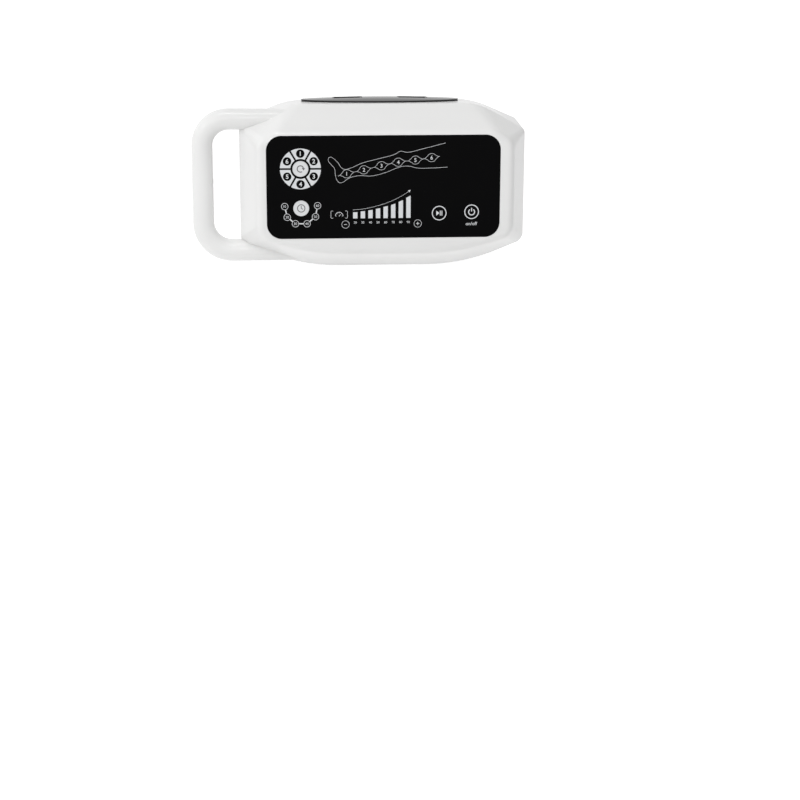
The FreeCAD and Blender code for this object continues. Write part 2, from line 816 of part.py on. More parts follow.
def rear_housing():
    adds = [common("plate_ledge", outer_solid,
                   ellipse_prism("ledge_prism", "ledge_skirt",
                                 f"{RIM_Z} - plate_seat - ledge_thick", f"{TOP_Z} + {PAST}"))]
    for index, (x, z) in enumerate(body_screws()):
        adds.append(rod(f"rear_boss_{index}", (x, PART_Y, z), "y", "boss_radius",
                        "rear_depth - wall / 2"))
    for index, (x, z) in enumerate(grip_screws()):
        adds.append(rod(f"rear_grip_boss_{index}", (x, PART_Y, z), "y", "grip_boss_radius",
                        GRIP_BOSS))
    for index, (x, z) in enumerate(dampers() + main_posts()):
        adds.append(rod(f"deck_post_{index}", (x, DECK_Y, z), "y", "board_post",
                        "deck + wall / 2"))
    for side in (-1, 1):
        adds.append(rod(f"valve_post_{side + 1}",
                        (f"{PANEL_X} + ({side}) * valve_width * {VALVE_POST_SHARE}",
                         f"{VALVE_Y} + valve_depth", VALVE_Z), "y", "board_post",
                        f"{WALL_Y} + wall / 2 - ({VALVE_Y} + valve_depth)"))
    joined = join("rear_joined", [rear_shell] + adds)
    cuts = [
        ellipse_prism("plate_pocket", "plate_gap", f"{RIM_Z} - plate_seat", f"{RIM_Z} + {PAST}"),
        ellipse_prism("plate_through", "0 - ledge_width",
                      f"{RIM_Z} - plate_seat - ledge_thick - {PAST}", f"{RIM_Z} + {PAST}"),
        slab("inlet_window", ("inlet_x", f"{WALL_Y} - {PAST}", "inlet_z"),
             ("inlet_width + 2 * inlet_gap", f"wall + 2 * {PAST}",
              "inlet_height + 2 * inlet_gap")),
    ]
    for index, (x, z) in enumerate(body_screws() + grip_screws()):
        cuts.append(rod(f"rear_shank_{index}", (x, f"{PART_Y} - {PAST}", z), "y",
                        "screw_shank + shank_gap", f"screw_seat + 2 * {PAST}"))
        cuts.append(rod(f"rear_sink_{index}", (x, f"{PART_Y} + screw_seat", z), "y",
                        "screw_head + head_gap", "rear_depth"))
    for index, (x, z) in enumerate(main_posts()):
        cuts.append(rod(f"main_pilot_{index}", (x, f"{DECK_Y} - {LAP}", z), "y",
                        "board_screw + pilot_gap", f"board_screw_bite + {PAST}"))
    for name, x, z, reach_out in VENT_ROWS:
        for index in range(-reach_out, reach_out + 1):
            cuts.append(slab(f"{name}_vent_{index + reach_out}",
                             (f"{x} + ({index}) * vent_pitch", f"{WALL_Y} - {PAST}", z),
                             ("vent_width", f"wall + 2 * {PAST}", "vent_height")))
    for index, (x, y, under) in enumerate(foot_spots()):
        cuts.append(rod(f"foot_socket_{index}", (x, y, f"0 - {PAST}"), "z",
                        "foot_radius + foot_gap", f"{under} + {PAST} + wall / 2"))
    node(cut("rear_housing", joined, cuts))


def foot_spots():
    """Places of the feet and the height of the sloping underside above each."""
    spots = []
    for side in (-1, 1):
        for back in ("foot_front", "foot_back"):
            spots.append((f"{MID_X} + ({side}) * foot_apart / 2", f"{PART_Y} + {back}",
                          f"foot_stand + back_inset * {back} / rear_depth"))
    return spots


def rubber_feet():
    feet = []
    for index, (x, y, under) in enumerate(foot_spots()):
        feet.append(rod(f"foot_{index}", (x, y, "0"), "z", "foot_radius",
                        f"{under} + wall / 2"))
    node(group("rubber_feet", feet))


def housing_screws():
    made = []
    for index, (x, z) in enumerate(body_screws() + grip_screws()):
        shank = rod(f"shank_{index}", (x, f"{PART_Y} - screw_bite", z), "y",
                    "screw_shank", f"screw_bite + screw_seat + {LAP}")
        head = rod(f"head_{index}", (x, f"{PART_Y} + screw_seat", z), "y",
                   "screw_head", "screw_head_high")
        made.append(join(f"housing_screw_{index}", [shank, head]))
    node(group("housing_screws", made))


def grip_screw():
    shank = rod("grip_shank", (f"{GRIP_INNER} - grip_screw_sink - screw_bite", GRIP_SCREW_Y,
                               PANEL_Z), "x", "screw_shank", f"screw_bite + {LAP}")
    head = rod("grip_head", (f"{GRIP_INNER} - grip_screw_sink", GRIP_SCREW_Y, PANEL_Z), "x",
               "screw_head", "grip_screw_head")
    node(join("grip_screw", [shank, head]))


# ---------------------------------------------------------------- panel, keys, key board

def control_panel():
    """The glossy overlay: a rounded plate with a hole for each key."""
    made = body("control_panel", (PANEL_X, f"{FACE_Y} + panel_setback", PANEL_Z))
    drawn = sketch(made, "XZ_Plane")
    rectangle(drawn, "0", "0", "panel_width", "panel_height")
    plate = solid_step(made, "Pad", drawn, "panel_thick", reverse=True)
    doc.recompute()
    corners = made.newObject("PartDesign::Fillet", "panel_corners")
    corners.Base = (plate, [f"Edge{number}" for number in edges_along(plate.Shape, "y")])
    bind(corners, "Radius", "panel_round")
    holes = sketch(made, "XZ_Plane", PAST)
    for x, z, radius in KEYS.values():
        circle(holes, x, z, f"{radius} + key_gap")
    solid_step(made, "Pocket", holes, f"panel_thick + 2 * {PAST}")
    node(made)


def key_caps():
    """Round caps flush with the panel, each on a flange and a stem."""
    for name in KEYS:
        x, z, radius = key_spot(name)
        made = body(name, (x, f"{FACE_Y} + panel_setback", z))
        stem = f"{BOARD_Y} - switch_reach - {KEY_GAP} - {PANEL_BACK} - flange_thick - key_play"
        steps = (("0", radius, "panel_thick + key_play"),
                 ("0 - panel_thick - key_play", f"{radius} + flange_lip", "flange_thick"),
                 ("0 - panel_thick - key_play - flange_thick", "stem_radius", stem))
        for lift, reach_out, length in steps:
            drawn = sketch(made, "XZ_Plane", lift)
            circle(drawn, "0", "0", reach_out)
            solid_step(made, "Pad", drawn, length, reverse=True)
        node(made)


def key_board():
    made = body("key_board", (PANEL_X, BOARD_Y, PANEL_Z))
    drawn = sketch(made, "XZ_Plane")
    rectangle(drawn, "0", "0", "key_board_width", "key_board_height")
    solid_step(made, "Pad", drawn, "board_thick", reverse=True)
    holes = sketch(made, "XZ_Plane", PAST)
    for side in (-1, 0, 1):
        for level in (-1, 1):
            circle(holes, f"({side}) * (key_board_width / 2 - post_inset_x)",
                   f"({level}) * (key_board_height / 2 - post_inset_z)",
                   "board_screw + board_hole_gap")
    solid_step(made, "Pocket", holes, f"board_thick + 2 * {PAST}")
    node(made)
    switches = []
    for name in KEYS:
        x, z, radius = key_spot(name)
        case = slab(f"{name}_switch", (x, f"{BOARD_Y} - switch_reach + button_height", z),
                    ("switch_side", "switch_reach - button_height", "switch_side"))
        button = rod(f"{name}_button", (x, f"{BOARD_Y} - switch_reach", z), "y",
                     "button_radius", f"button_height + {LAP}")
        switches.append(join(f"{name}_tact", [case, button]))
    node(group("tact_switches", switches))
    lamps = []
    for index, (x, z) in enumerate(lamp_spots()):
        base = slab(f"lamp_base_{index}", (x, f"{BOARD_Y} - lamp_base_height", z),
                    ("lamp_base", "lamp_base_height", "lamp_base"))
        dome = rod(f"lamp_dome_{index}", (x, f"{BOARD_Y} - lamp_height", z), "y", "lamp_radius",
                   f"lamp_height - lamp_base_height + {LAP}")
        lamps.append(join(f"lamp_{index}", [base, dome]))
    node(group("indicator_lamps", lamps))


def board_screws():
    """Small screws that hold the key board to the front and the main board to the rear."""
    made = []
    for index, (x, z) in enumerate(board_posts()):
        head = rod(f"key_board_head_{index}", (x, f"{BOARD_Y} + board_thick", z), "y",
                   "board_screw_head", "board_thick")
        shank = rod(f"key_board_shank_{index}", (x, f"{BOARD_Y} - board_screw_bite", z), "y",
                    "board_screw", f"board_screw_bite + board_thick + {LAP}")
        made.append(join(f"key_board_screw_{index}", [head, shank]))
    for index, (x, z) in enumerate(main_posts()):
        head = rod(f"main_board_head_{index}", (x, f"{DECK_Y} - 2 * board_thick", z), "y",
                   "board_screw_head", "board_thick")
        shank = rod(f"main_board_shank_{index}", (x, f"{DECK_Y} - board_thick - {LAP}", z), "y",
                    "board_screw", f"board_screw_bite + board_thick + {LAP}")
        made.append(join(f"main_board_screw_{index}", [head, shank]))
    node(group("board_screws", made))


# ---------------------------------------------------------------- top plate and air sockets

def socket_window(label, side, extra, low, high):
    """The upright prism of one socket, wider than the socket by extra."""
    x = f"({PLATE_X} + ({side}) * socket_apart / 2)"
    width = f"(socket_width + 2 * ({extra}))"
    depth = f"(socket_depth + 2 * ({extra}))"
    return block(label, (f"{x} - {width} / 2", f"{SOCKET_Y} - {depth} / 2", low),
                 (width, depth, f"({high}) - ({low})"))


def elliptic_dome():
    """A turned lid with a vertical rim and a shallow dome, stretched to an ellipse."""
    half = size["plate_depth"] / 2
    rise = size["plate_dome"]
    curve = (half ** 2 + rise ** 2) / (2 * rise)
    turn = math.asin(half / curve) / 2
    middle = V(curve * math.sin(turn), 0, rise - curve + curve * math.cos(turn))
    low = -size["plate_seat"]
    profile = Part.Wire([
        Part.LineSegment(V(0, 0, rise), V(0, 0, low)).toShape(),
        Part.LineSegment(V(0, 0, low), V(half, 0, low)).toShape(),
        Part.LineSegment(V(half, 0, low), V(half, 0, 0)).toShape(),
        Part.Arc(V(half, 0, 0), middle, V(0, 0, rise)).toShape(),
    ])
    turned = Part.Face(profile).revolve(V(0, 0, 0), V(0, 0, 1), 360)
    stretch = FreeCAD.Matrix()
    stretch.scale(size["plate_length"] / size["plate_depth"], 1, 1)
    return turned.transformGeometry(stretch)


def air_port_plate():
    dome = place(feature("port_dome", elliptic_dome()), (PLATE_X, PLATE_Y, RIM_Z))
    windows = [socket_window(f"port_window_{side + 1}", side, "socket_gap",
                             f"{RIM_Z} - plate_seat - {PAST}", f"{RIM_Z} + plate_dome + {PAST}")
               for side in (-1, 1)]
    node(cut("air_port_plate", dome, windows))


def air_sockets():
    for side, label in ((-1, "left_air_socket"), (1, "right_air_socket")):
        cup = socket_window(f"{label}_cup", side, "0", SOCKET_FLOOR + " - socket_wall", SOCKET_TOP)
        lip = socket_window(f"{label}_lip", side, "socket_lip",
                            f"{RIM_Z} - plate_seat - socket_lip_thick", f"{RIM_Z} - plate_seat")
        well = socket_window(f"{label}_well", side, "0 - socket_wall", SOCKET_FLOOR,
                             f"{SOCKET_TOP} + {PAST}")
        shell_cup = cut(f"{label}_shell", join(f"{label}_outer", [cup, lip]), [well])
        tubes = []
        bores = []
        for index, (x, y) in enumerate(nozzles(side)):
            low = f"{SOCKET_FLOOR} - socket_wall - tail_length"
            long = "nozzle_height + socket_wall + tail_length"
            tubes.append(rod(f"{label}_nozzle_{index}", (x, y, low), "z", "nozzle_radius", long))
            bores.append(rod(f"{label}_bore_{index}", (x, y, f"{low} - {PAST}"), "z",
                             "nozzle_bore", f"{long} + 2 * {PAST}"))
        node(cut(label, join(f"{label}_joined", [shell_cup] + tubes), bores))


# ---------------------------------------------------------------- mains inlet

def power_inlet():
    lip = slab("inlet_lip_plate", ("inlet_x", BACK_Y, "inlet_z"),
               ("inlet_width + 2 * inlet_lip", "inlet_lip_thick",
                "inlet_height + 2 * inlet_lip"))
    case = slab("inlet_case", ("inlet_x", f"{BACK_Y} - inlet_length", "inlet_z"),
                ("inlet_width", "inlet_length + inlet_lip_thick", "inlet_height"))
    mouth = slab("inlet_mouth", ("inlet_x", f"{BACK_Y} + inlet_lip_thick - inlet_sink",
                                 "inlet_z"),
                 ("inlet_width - 2 * inlet_wall", f"inlet_sink + {PAST}",
                  "inlet_height - 2 * inlet_wall"))
    mouth = round_edges("inlet_mouth_round", mouth, "y", size["inlet_mouth_round"])
    node(cut("power_inlet", join("inlet_joined", [lip, case]), [mouth]))
    pins = []
    for side in (-1, 1):
        pins.append(rod(f"inlet_pin_{side + 1}",
                        (f"inlet_x + ({side}) * inlet_pin_apart / 2",
                         f"{BACK_Y} + inlet_lip_thick - inlet_sink", "inlet_z"), "y",
                        "inlet_pin_radius", "inlet_pin_length"))
    node(group("inlet_pins", pins))


# ---------------------------------------------------------------- air pump

PUMP_PLATE_Y = f"({DECK_Y} - damper_high - plate_metal)"
CORE_BACK = f"({PUMP_PLATE_Y} - core_standoff)"
CORE_FRONT = f"({CORE_BACK} - core_depth)"
CORE_MID = f"({CORE_BACK} - core_depth / 2)"
ARM_OUT = "(core_width / 2 + magnet_gap + magnet_thick + arm_thick)"


def pump_frame():
    plate = slab("pump_plate", ("pump_x", PUMP_PLATE_Y, "pump_z"),
                 ("pump_plate_width", "plate_metal", "pump_plate_height"))
    seats = []
    for level in (-1, 1):
        seat_z = f"pump_z + ({level}) * (core_height - core_yoke) / 2"
        seats.append(slab(f"core_seat_{level + 1}", ("pump_x", CORE_BACK, seat_z),
                          ("core_width", f"core_standoff + {LAP}", "core_yoke")))
    node(join("pump_frame", [plate] + seats))
    pads = []
    for index, (x, z) in enumerate(dampers()):
        pads.append(rod(f"damper_{index}", (x, f"{DECK_Y} - damper_high", z), "y",
                        "damper_radius", "damper_high"))
    node(group("pump_dampers", pads))


def lamination(label, x, y, z, width, height, depth, leg, window, yoke):
    """A two-window core: outer legs, a centre leg and two yokes."""
    made = body(label, (x, y, z))
    drawn = sketch(made, "XZ_Plane")
    rectangle(drawn, "0", "0", width, height)
    for side in (-1, 1):
        rectangle(drawn, f"({side}) * ({leg} + {window}) / 2", "0", window,
                  f"{height} - 2 * {yoke}")
    solid_step(made, "Pad", drawn, depth, reverse=True)
    return node(made)


def winding(label, x, y, z, height, depth, leg, window, yoke, end):
    """A coil round the centre leg of a core."""
    made = body(label, (x, y, z))
    drawn = sketch(made, "XY_Plane")
    rectangle(drawn, "0", "0", f"{leg} + 2 * {window} - 2 * coil_gap", f"{depth} + 2 * {end}")
    rectangle(drawn, "0", "0", f"{leg} + 2 * coil_gap", f"{depth} + 2 * coil_gap")
    solid_step(made, "Pad", drawn, f"{height} - 2 * {yoke} - 2 * coil_gap", both=True)
    return node(made)


def swing_arms():
    """Two levers on pins: each carries a magnet beside the core and pushes a diaphragm."""
    pins = []
    for side, word in ((-1, "left"), (1, "right")):
        outer_x = f"pump_x + ({side}) * {ARM_OUT}"
        mid_x = f"(pump_x + ({side}) * ({ARM_OUT} - arm_thick / 2))"
        arm_y = f"({CORE_MID} - arm_depth / 2)"
        pivot_z = "(pump_z + arm_rise)"
        bar = slab(f"{word}_bar", (mid_x, arm_y, "pump_z + (arm_rise - arm_drop) / 2"),
                   ("arm_thick", "arm_depth", "arm_rise + arm_drop"))
        hub = rod(f"{word}_hub", (mid_x, arm_y, pivot_z), "y", "arm_thick", "arm_depth")
        stud_low = "arm_thick / 2" if side > 0 else "stud_length"
        stud = rod(f"{word}_stud", (f"{outer_x} - {stud_low}", CORE_MID, "pump_z"), "x",
                   "stud_radius", "stud_length + arm_thick / 2")
        hole = rod(f"{word}_hole", (mid_x, f"{arm_y} - {PAST}", pivot_z), "y",
                   "pin_radius + pin_gap", f"arm_depth + 2 * {PAST}")
        node(cut(f"{word}_swing_arm", join(f"{word}_arm_joined", [bar, hub, stud]), [hole]))
        magnet_x = f"pump_x + ({side}) * (core_width / 2 + magnet_gap + magnet_thick / 2)"
        node(slab(f"{word}_magnet", (magnet_x, arm_y, "pump_z"),
                  ("magnet_thick", "arm_depth", "magnet_height")))
        pins.append(rod(f"{word}_pin", (mid_x, f"{arm_y} - pin_overhang", pivot_z), "y",
                        "pin_radius", f"{PUMP_PLATE_Y} - {arm_y} + pin_overhang"))
    node(group("arm_pins", pins))


def pump_heads():
    """A square valve chamber at each end, with a diaphragm facing the arm."""
    heads = []
    skins = []
    for side in (-1, 1):
        skin_in = f"({ARM_OUT} + stud_length + stud_rest)"
        head_in = f"({skin_in} + diaphragm_thick)"
        start = f"pump_x + {skin_in}" if side > 0 else f"pump_x - {head_in}"
        skins.append(rod(f"diaphragm_{side + 1}", (start, CORE_MID, "pump_z"), "x",
                         "diaphragm_radius", "diaphragm_thick"))
        head_y = f"({CORE_MID} - head_square / 2)"
        head_x = f"pump_x + ({side}) * ({head_in} + head_length / 2)"
        case = slab(f"head_case_{side + 1}", (head_x, head_y, "pump_z"),
                    ("head_length", f"{PUMP_PLATE_Y} - {head_y}", "head_square"))
        barb_z = f"pump_z + head_square / 2 - {PAST}"
        barb = rod(f"head_barb_{side + 1}", (head_x, "supply_y", barb_z), "z", "barb_radius",
                   f"barb_length + {PAST}")
        bore = rod(f"head_bore_{side + 1}", (head_x, "supply_y", f"{barb_z} - {PAST}"), "z",
                   "barb_bore", f"barb_length + 3 * {PAST}")
        heads.append(cut(f"head_{side + 1}", join(f"head_joined_{side + 1}", [case, barb]),
                         [bore]))
    node(group("diaphragms", skins))
    node(group("pump_heads", heads))


# ---------------------------------------------------------------- valves and tubes

HEAD_OUT = f"({ARM_OUT} + stud_length + stud_rest + diaphragm_thick + head_length / 2)"


def valve_x(index):
    pitch = f"(valve_width - 2 * valve_end) / {VALVE_COUNT - 1}"
    return f"({PANEL_X} + ({index - (VALVE_COUNT - 1) / 2}) * {pitch})"


def valve_block():
    case = slab("valve_case", (PANEL_X, VALVE_Y, VALVE_Z),
                ("valve_width", "valve_depth", "valve_height"))
    left_barb = rod("left_barb", (f"pump_x - {HEAD_OUT}", "supply_y",
                                  f"{VALVE_TOP} - valve_height - barb_length"), "z",
                    "barb_radius", f"barb_length + {PAST}")
    right_barb = rod("right_barb", (f"{PANEL_X} + valve_width / 2 - {PAST}", "supply_y", VALVE_Z),
                     "x", "barb_radius", f"barb_length + {PAST}")
    node(join("valve_block", [case, left_barb, right_barb]))
    coils = []
    for index in range(VALVE_COUNT):
        spot = (valve_x(index), f"{VALVE_Y} - valve_coil_length", VALVE_Z)
        barrel = rod(f"coil_barrel_{index}", spot, "y", "valve_coil_radius", "valve_coil_length")
        deep = "(plunger_length + plunger_travel + 2 * plunger_gap)"
        bore = rod(f"coil_bore_{index}", (valve_x(index), f"{VALVE_Y} - {deep}", VALVE_Z), "y",
                   "plunger_radius + plunger_gap", f"{deep} + {PAST}")
        coils.append(cut(f"coil_{index}", barrel, [bore]))
    node(group("valve_coils", coils))
    for index in range(VALVE_COUNT):
        made = body(f"valve_plunger_{index + 1}",
                    (valve_x(index), f"{VALVE_Y} - plunger_gap", VALVE_Z))
        drawn = sketch(made, "XZ_Plane")
        circle(drawn, "0", "0", "plunger_radius")
        solid_step(made, "Pad", drawn, "plunger_length")
        node(made)


def tubes():
    """Hoses from the sockets' tails to the valve block, and from the pump heads to it."""
    short = []
    for side in (-1, 1):
        for index, (x, y) in enumerate(nozzles(side)):
            label = f"port_tube_{side + 1}_{index}"
            long = f"{SOCKET_FLOOR} - socket_wall - ({VALVE_TOP})"
            skin = rod(f"{label}_skin", (x, y, VALVE_TOP), "z",
                       "nozzle_radius + hose_slip + port_hose_wall", long)
            hole = rod(f"{label}_hole", (x, y, f"{VALVE_TOP} - {PAST}"), "z",
                       "nozzle_radius + hose_slip", f"{long} + 2 * {PAST}")
            short.append(cut(label, skin, [hole]))
    node(group("port_tubes", short))
    radius_out = "barb_radius + hose_slip + hose_wall"
    low = "pump_z + head_square / 2"
    left_long = f"{VALVE_TOP} - valve_height - ({low})"
    skin = rod("left_hose_skin", (f"pump_x - {HEAD_OUT}", "supply_y", low), "z", radius_out,
               left_long)
    hole = rod("left_hose_hole", (f"pump_x - {HEAD_OUT}", "supply_y", f"{low} - {PAST}"), "z",
               "barb_radius + hose_slip", f"{left_long} + 2 * {PAST}")
    node(group("supply_tubes", [cut("left_hose", skin, [hole]), right_hose()]))


def right_hose():
    """Up from the right pump head and round a bend into the valve block's end."""
    mid = size["handle_reach"] / 2 - size["panel_shift"]
    arm_out = (size["core_width"] / 2 + size["magnet_gap"] + size["magnet_thick"]
               + size["arm_thick"])
    head_x = size["pump_x"] + (arm_out + size["stud_length"] + size["stud_rest"]
                               + size["diaphragm_thick"] + size["head_length"] / 2)
    low = size["pump_z"] + size["head_square"] / 2
    valve_z = (size["foot_stand"] + size["body_height"] - size["valve_drop"]
               - size["valve_height"] / 2)
    end_x = mid + size["valve_width"] / 2
    bend = (head_x - end_x) * HOSE_BEND_SHARE
    y = size["supply_y"]
    near = bend * (1 - math.sqrt(0.5))
    spine = Part.Wire([
        Part.LineSegment(V(head_x, y, low), V(head_x, y, valve_z - bend)).toShape(),
        Part.Arc(V(head_x, y, valve_z - bend), V(head_x - near, y, valve_z - near),
                 V(head_x - bend, y, valve_z)).toShape(),
        Part.LineSegment(V(head_x - bend, y, valve_z), V(end_x, y, valve_z)).toShape(),
    ])
    inner_radius = size["barb_radius"] + size["hose_slip"]
    loops = []
    for radius in (inner_radius + size["hose_wall"], inner_radius):
        ring = Part.Wire([Part.Circle(V(head_x, y, low), V(0, 0, 1), radius).toShape()])
        loops.append(spine.makePipeShell([ring], True, False))
    return feature("right_hose", loops[0].cut(loops[1]))


# ---------------------------------------------------------------- electronics

def main_board():
    sheet_part = slab("main_board_blank", ("main_x", f"{DECK_Y} - board_thick", "main_z"),
                      ("main_width", "board_thick", "main_height"))
    holes = [rod(f"main_board_hole_{index}", (x, f"{DECK_Y} - 2 * board_thick", z), "y",
                 "board_screw + board_hole_gap", "3 * board_thick")
             for index, (x, z) in enumerate(main_posts())]
    node(cut("main_board", sheet_part, holes))
    front = f"({DECK_Y} - board_thick)"
    cans = []
    for index, x in enumerate(CAN_PLACES):
        cans.append(rod(f"can_{index}", (f"main_x + ({x})", f"{front} - can_height",
                                         "main_z + can_rise"), "y", "can_radius", "can_height"))
    node(group("board_capacitors", cans))
    plugs = [slab(f"plug_{index}", (f"main_x + ({x})", f"{front} - plug_height", z),
                  (width, "plug_height", "plug_width"))
             for index, (x, z, width) in enumerate(PLUGS)]
    plugs.append(slab("key_board_plug", ("main_x + cable_x", f"{BOARD_Y} + board_thick", "cable_z"),
                      ("cable_width + plug_margin", "plug_width", "plug_width")))
    node(group("board_connectors", plugs))
    case = slab("sensor_case", ("main_x + sensor_x", f"{front} - sensor_height", "main_z"),
                ("sensor_side", "sensor_height", "sensor_side"))
    port = rod("sensor_port", ("main_x + sensor_x", f"{front} - sensor_height - sensor_port_reach",
                               "main_z"), "y", "sensor_port", f"sensor_port_reach + {PAST}")
    node(join("pressure_sensor", [case, port]))
    node(ribbon_cable())


def ribbon_cable():
    """A flat cable that hangs in a shallow arc from the key board to the main board."""
    start = face_y + size["board_gap"] + size["board_thick"] + size["plug_width"]
    end = back_y - size["wall"] - size["deck"] - size["board_thick"] - size["plug_height"]
    left = size["main_x"] + size["cable_x"] - size["cable_width"] / 2
    level = size["cable_z"] - size["cable_thick"] / 2
    middle = (start + end) / 2
    wires = []
    for lift in (0.0, size["cable_thick"]):
        wires.append(Part.Arc(V(left, start, level + lift),
                              V(left, middle, level - size["cable_sag"] + lift),
                              V(left, end, level + lift)).toShape())
    ends = [Part.LineSegment(wires[0].Vertexes[0].Point, wires[1].Vertexes[0].Point).toShape(),
            Part.LineSegment(wires[0].Vertexes[1].Point, wires[1].Vertexes[1].Point).toShape()]
    loop = Part.Wire(Part.__sortEdges__(wires + ends))
    return feature("ribbon_cable", Part.Face(loop).extrude(V(size["cable_width"], 0, 0)))


def transformer():
    core_y = f"({DECK_Y} - trafo_lift - trafo_depth)"
    lamination("transformer_core", "trafo_x", core_y, "trafo_z", "trafo_width", "trafo_height",
               "trafo_depth", "trafo_leg", "trafo_window", "trafo_yoke")
    winding("transformer_coil", "trafo_x", f"{core_y} + trafo_depth / 2", "trafo_z",
            "trafo_height", "trafo_depth", "trafo_leg", "trafo_window", "trafo_yoke",
            "trafo_coil_end")
    back = f"{core_y} + trafo_depth"
    legs = []
    for side in (-1, 1):
        legs.append(slab(f"trafo_leg_{side + 1}",
                         (f"trafo_x + ({side}) * (trafo_width - trafo_foot) / 2", back, "trafo_z"),
                         ("trafo_foot", f"{WALL_Y} - ({back})", "trafo_height")))
    node(group("transformer_feet", legs))


front_housing()
rear_housing()
rubber_feet()
housing_screws()
grip_screw()
control_panel()
key_caps()
key_board()
board_screws()
air_port_plate()
air_sockets()
power_inlet()
pump_frame()
lamination("pump_core", "pump_x", CORE_FRONT, "pump_z", "core_width", "core_height", "core_depth",
           "core_leg", "core_window", "core_yoke")
winding("pump_coil", "pump_x", CORE_MID, "pump_z", "core_height", "core_depth", "core_leg",
        "core_window", "core_yoke", "coil_end")
swing_arms()
pump_heads()
valve_block()
tubes()
main_board()
transformer()
doc.recompute()

faults = [item.Label for item in doc.Objects if {"Invalid", "Error"} & set(item.State)]
for made in nodes:
    if made.Shape.isNull() or not made.Shape.isValid():
        faults.append(made.Label)
if faults:
    raise RuntimeError("failed objects: " + ", ".join(faults))

os.makedirs("parts", exist_ok=True)
for made in nodes:
    made.Shape.exportStep(f"parts/{made.Label}.step")
    box = made.Shape.BoundBox
    print(f"{made.Label:22s} solids {len(made.Shape.Solids):2d}  volume {made.Shape.Volume:10.1f}"
          f"  x {box.XMin:7.1f} {box.XMax:7.1f}  y {box.YMin:6.1f} {box.YMax:6.1f}"
          f"  z {box.ZMin:6.1f} {box.ZMax:6.1f}")
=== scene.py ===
import math

import bpy
from mathutils import Matrix, Vector


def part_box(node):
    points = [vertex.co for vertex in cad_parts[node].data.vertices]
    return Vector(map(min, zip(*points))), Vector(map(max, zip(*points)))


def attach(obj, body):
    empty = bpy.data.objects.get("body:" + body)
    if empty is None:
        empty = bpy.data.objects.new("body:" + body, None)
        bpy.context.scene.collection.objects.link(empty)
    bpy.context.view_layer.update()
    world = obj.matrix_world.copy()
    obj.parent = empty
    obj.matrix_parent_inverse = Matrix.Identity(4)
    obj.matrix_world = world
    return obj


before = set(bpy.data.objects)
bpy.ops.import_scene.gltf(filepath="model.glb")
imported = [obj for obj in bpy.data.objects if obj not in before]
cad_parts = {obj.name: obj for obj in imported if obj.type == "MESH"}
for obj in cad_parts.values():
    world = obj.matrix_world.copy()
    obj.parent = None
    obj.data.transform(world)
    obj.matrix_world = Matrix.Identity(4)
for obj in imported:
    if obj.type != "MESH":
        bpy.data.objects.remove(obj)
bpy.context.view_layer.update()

# Compression therapy pump: finishes, printed panel graphics, stage, lights and camera.
# Blender units are metres; prints are drawn in millimetres from the panel's centre.

MM = 0.001

# ---------------------------------------------------------------- places from the frame

panel_low, panel_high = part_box("control_panel")
PANEL = (panel_low + panel_high) / 2
FACE_Y = panel_low.y


def key_place(node):
    """A key's centre in millimetres from the panel's centre."""
    low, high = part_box(node)
    middle = (low + high) / 2 - PANEL
    return middle.x / MM, middle.z / MM


# ---------------------------------------------------------------- sizes of the prints, in mm

PRINT_THICK = 0.03
PRINT_SINK = 0.01
DIGIT_SHARE = 0.7               # a digit's height as a share of the font's size

# Wheel of sectors round the mode key
WHEEL_SECTORS = 6
WHEEL_IN, WHEEL_OUT = 10.7, 21.9
WHEEL_SPOKE = 1.9
WHEEL_HOLE = 4.5
WHEEL_RING = 16.4
WHEEL_DIGIT = 4.6

# Numbered rings round the time key
TIMER_RING = 17.8
TIMER_ANGLES = [173, 212, 249, 290, 329, 9]
TIMER_STEP = 10
TIMER_HOOP, TIMER_LINE = 3.8, 0.5
TIMER_DIGIT = 2.7
LINK_START = 3.6                # from a ring's centre
LINK_WIDTH = 1.24

# Bars of the pressure scale and the arrow over them
BAR_FIRST = (-30.8, -33.8)      # middle of the first bar's foot
BAR_PITCH = 8.2
BAR_WIDTH = 4.75
BAR_HEIGHTS = [6.7, 7.7, 8.8, 10.5, 12.7, 15.0, 18.5, 23.1]
BAR_SLANT_FIRST, BAR_SLANT_LAST = 0.1, 1.2
SLANT_POWER = 1.5
SCALE_FIRST, SCALE_STEP = 20, 10
SCALE_DIGIT = 2.4
SCALE_DROP = 4.5                # from the bars' foot to the digits' middle
RISE = [(-33.4, -24.6), (-20.8, -23.4), (-7.9, -20.6), (5.1, -16.5), (18.0, -10.6),
        (27.0, -4.9)]
RISE_LINE = 0.3
RISE_HEAD = [(28.9, -3.5), (26.1, -3.9), (27.7, -6.1)]

# Square brackets and the small dial between them
BRACKET_LEFT, BRACKET_RIGHT = -57.0, -39.2
BRACKET_LOW, BRACKET_HIGH = -33.4, -25.6
BRACKET_CORNER = 0.8
BRACKET_TICK = 2.4
BRACKET_LINE = 0.4
DIAL_RISE = 2.4                 # from the brackets' foot to the dial's centre
DIAL_IN, DIAL_OUT = 3.9, 4.4
DIAL_MARKS = (0, 45, 90, 135, 180)
MARK_IN, MARK_OUT = 3.0, 4.0
MARK_HALF = 4                   # half a mark's width, in degrees
NEEDLE = [(-0.5, -0.3), (0.5, -0.3), (1.8, 2.4)]

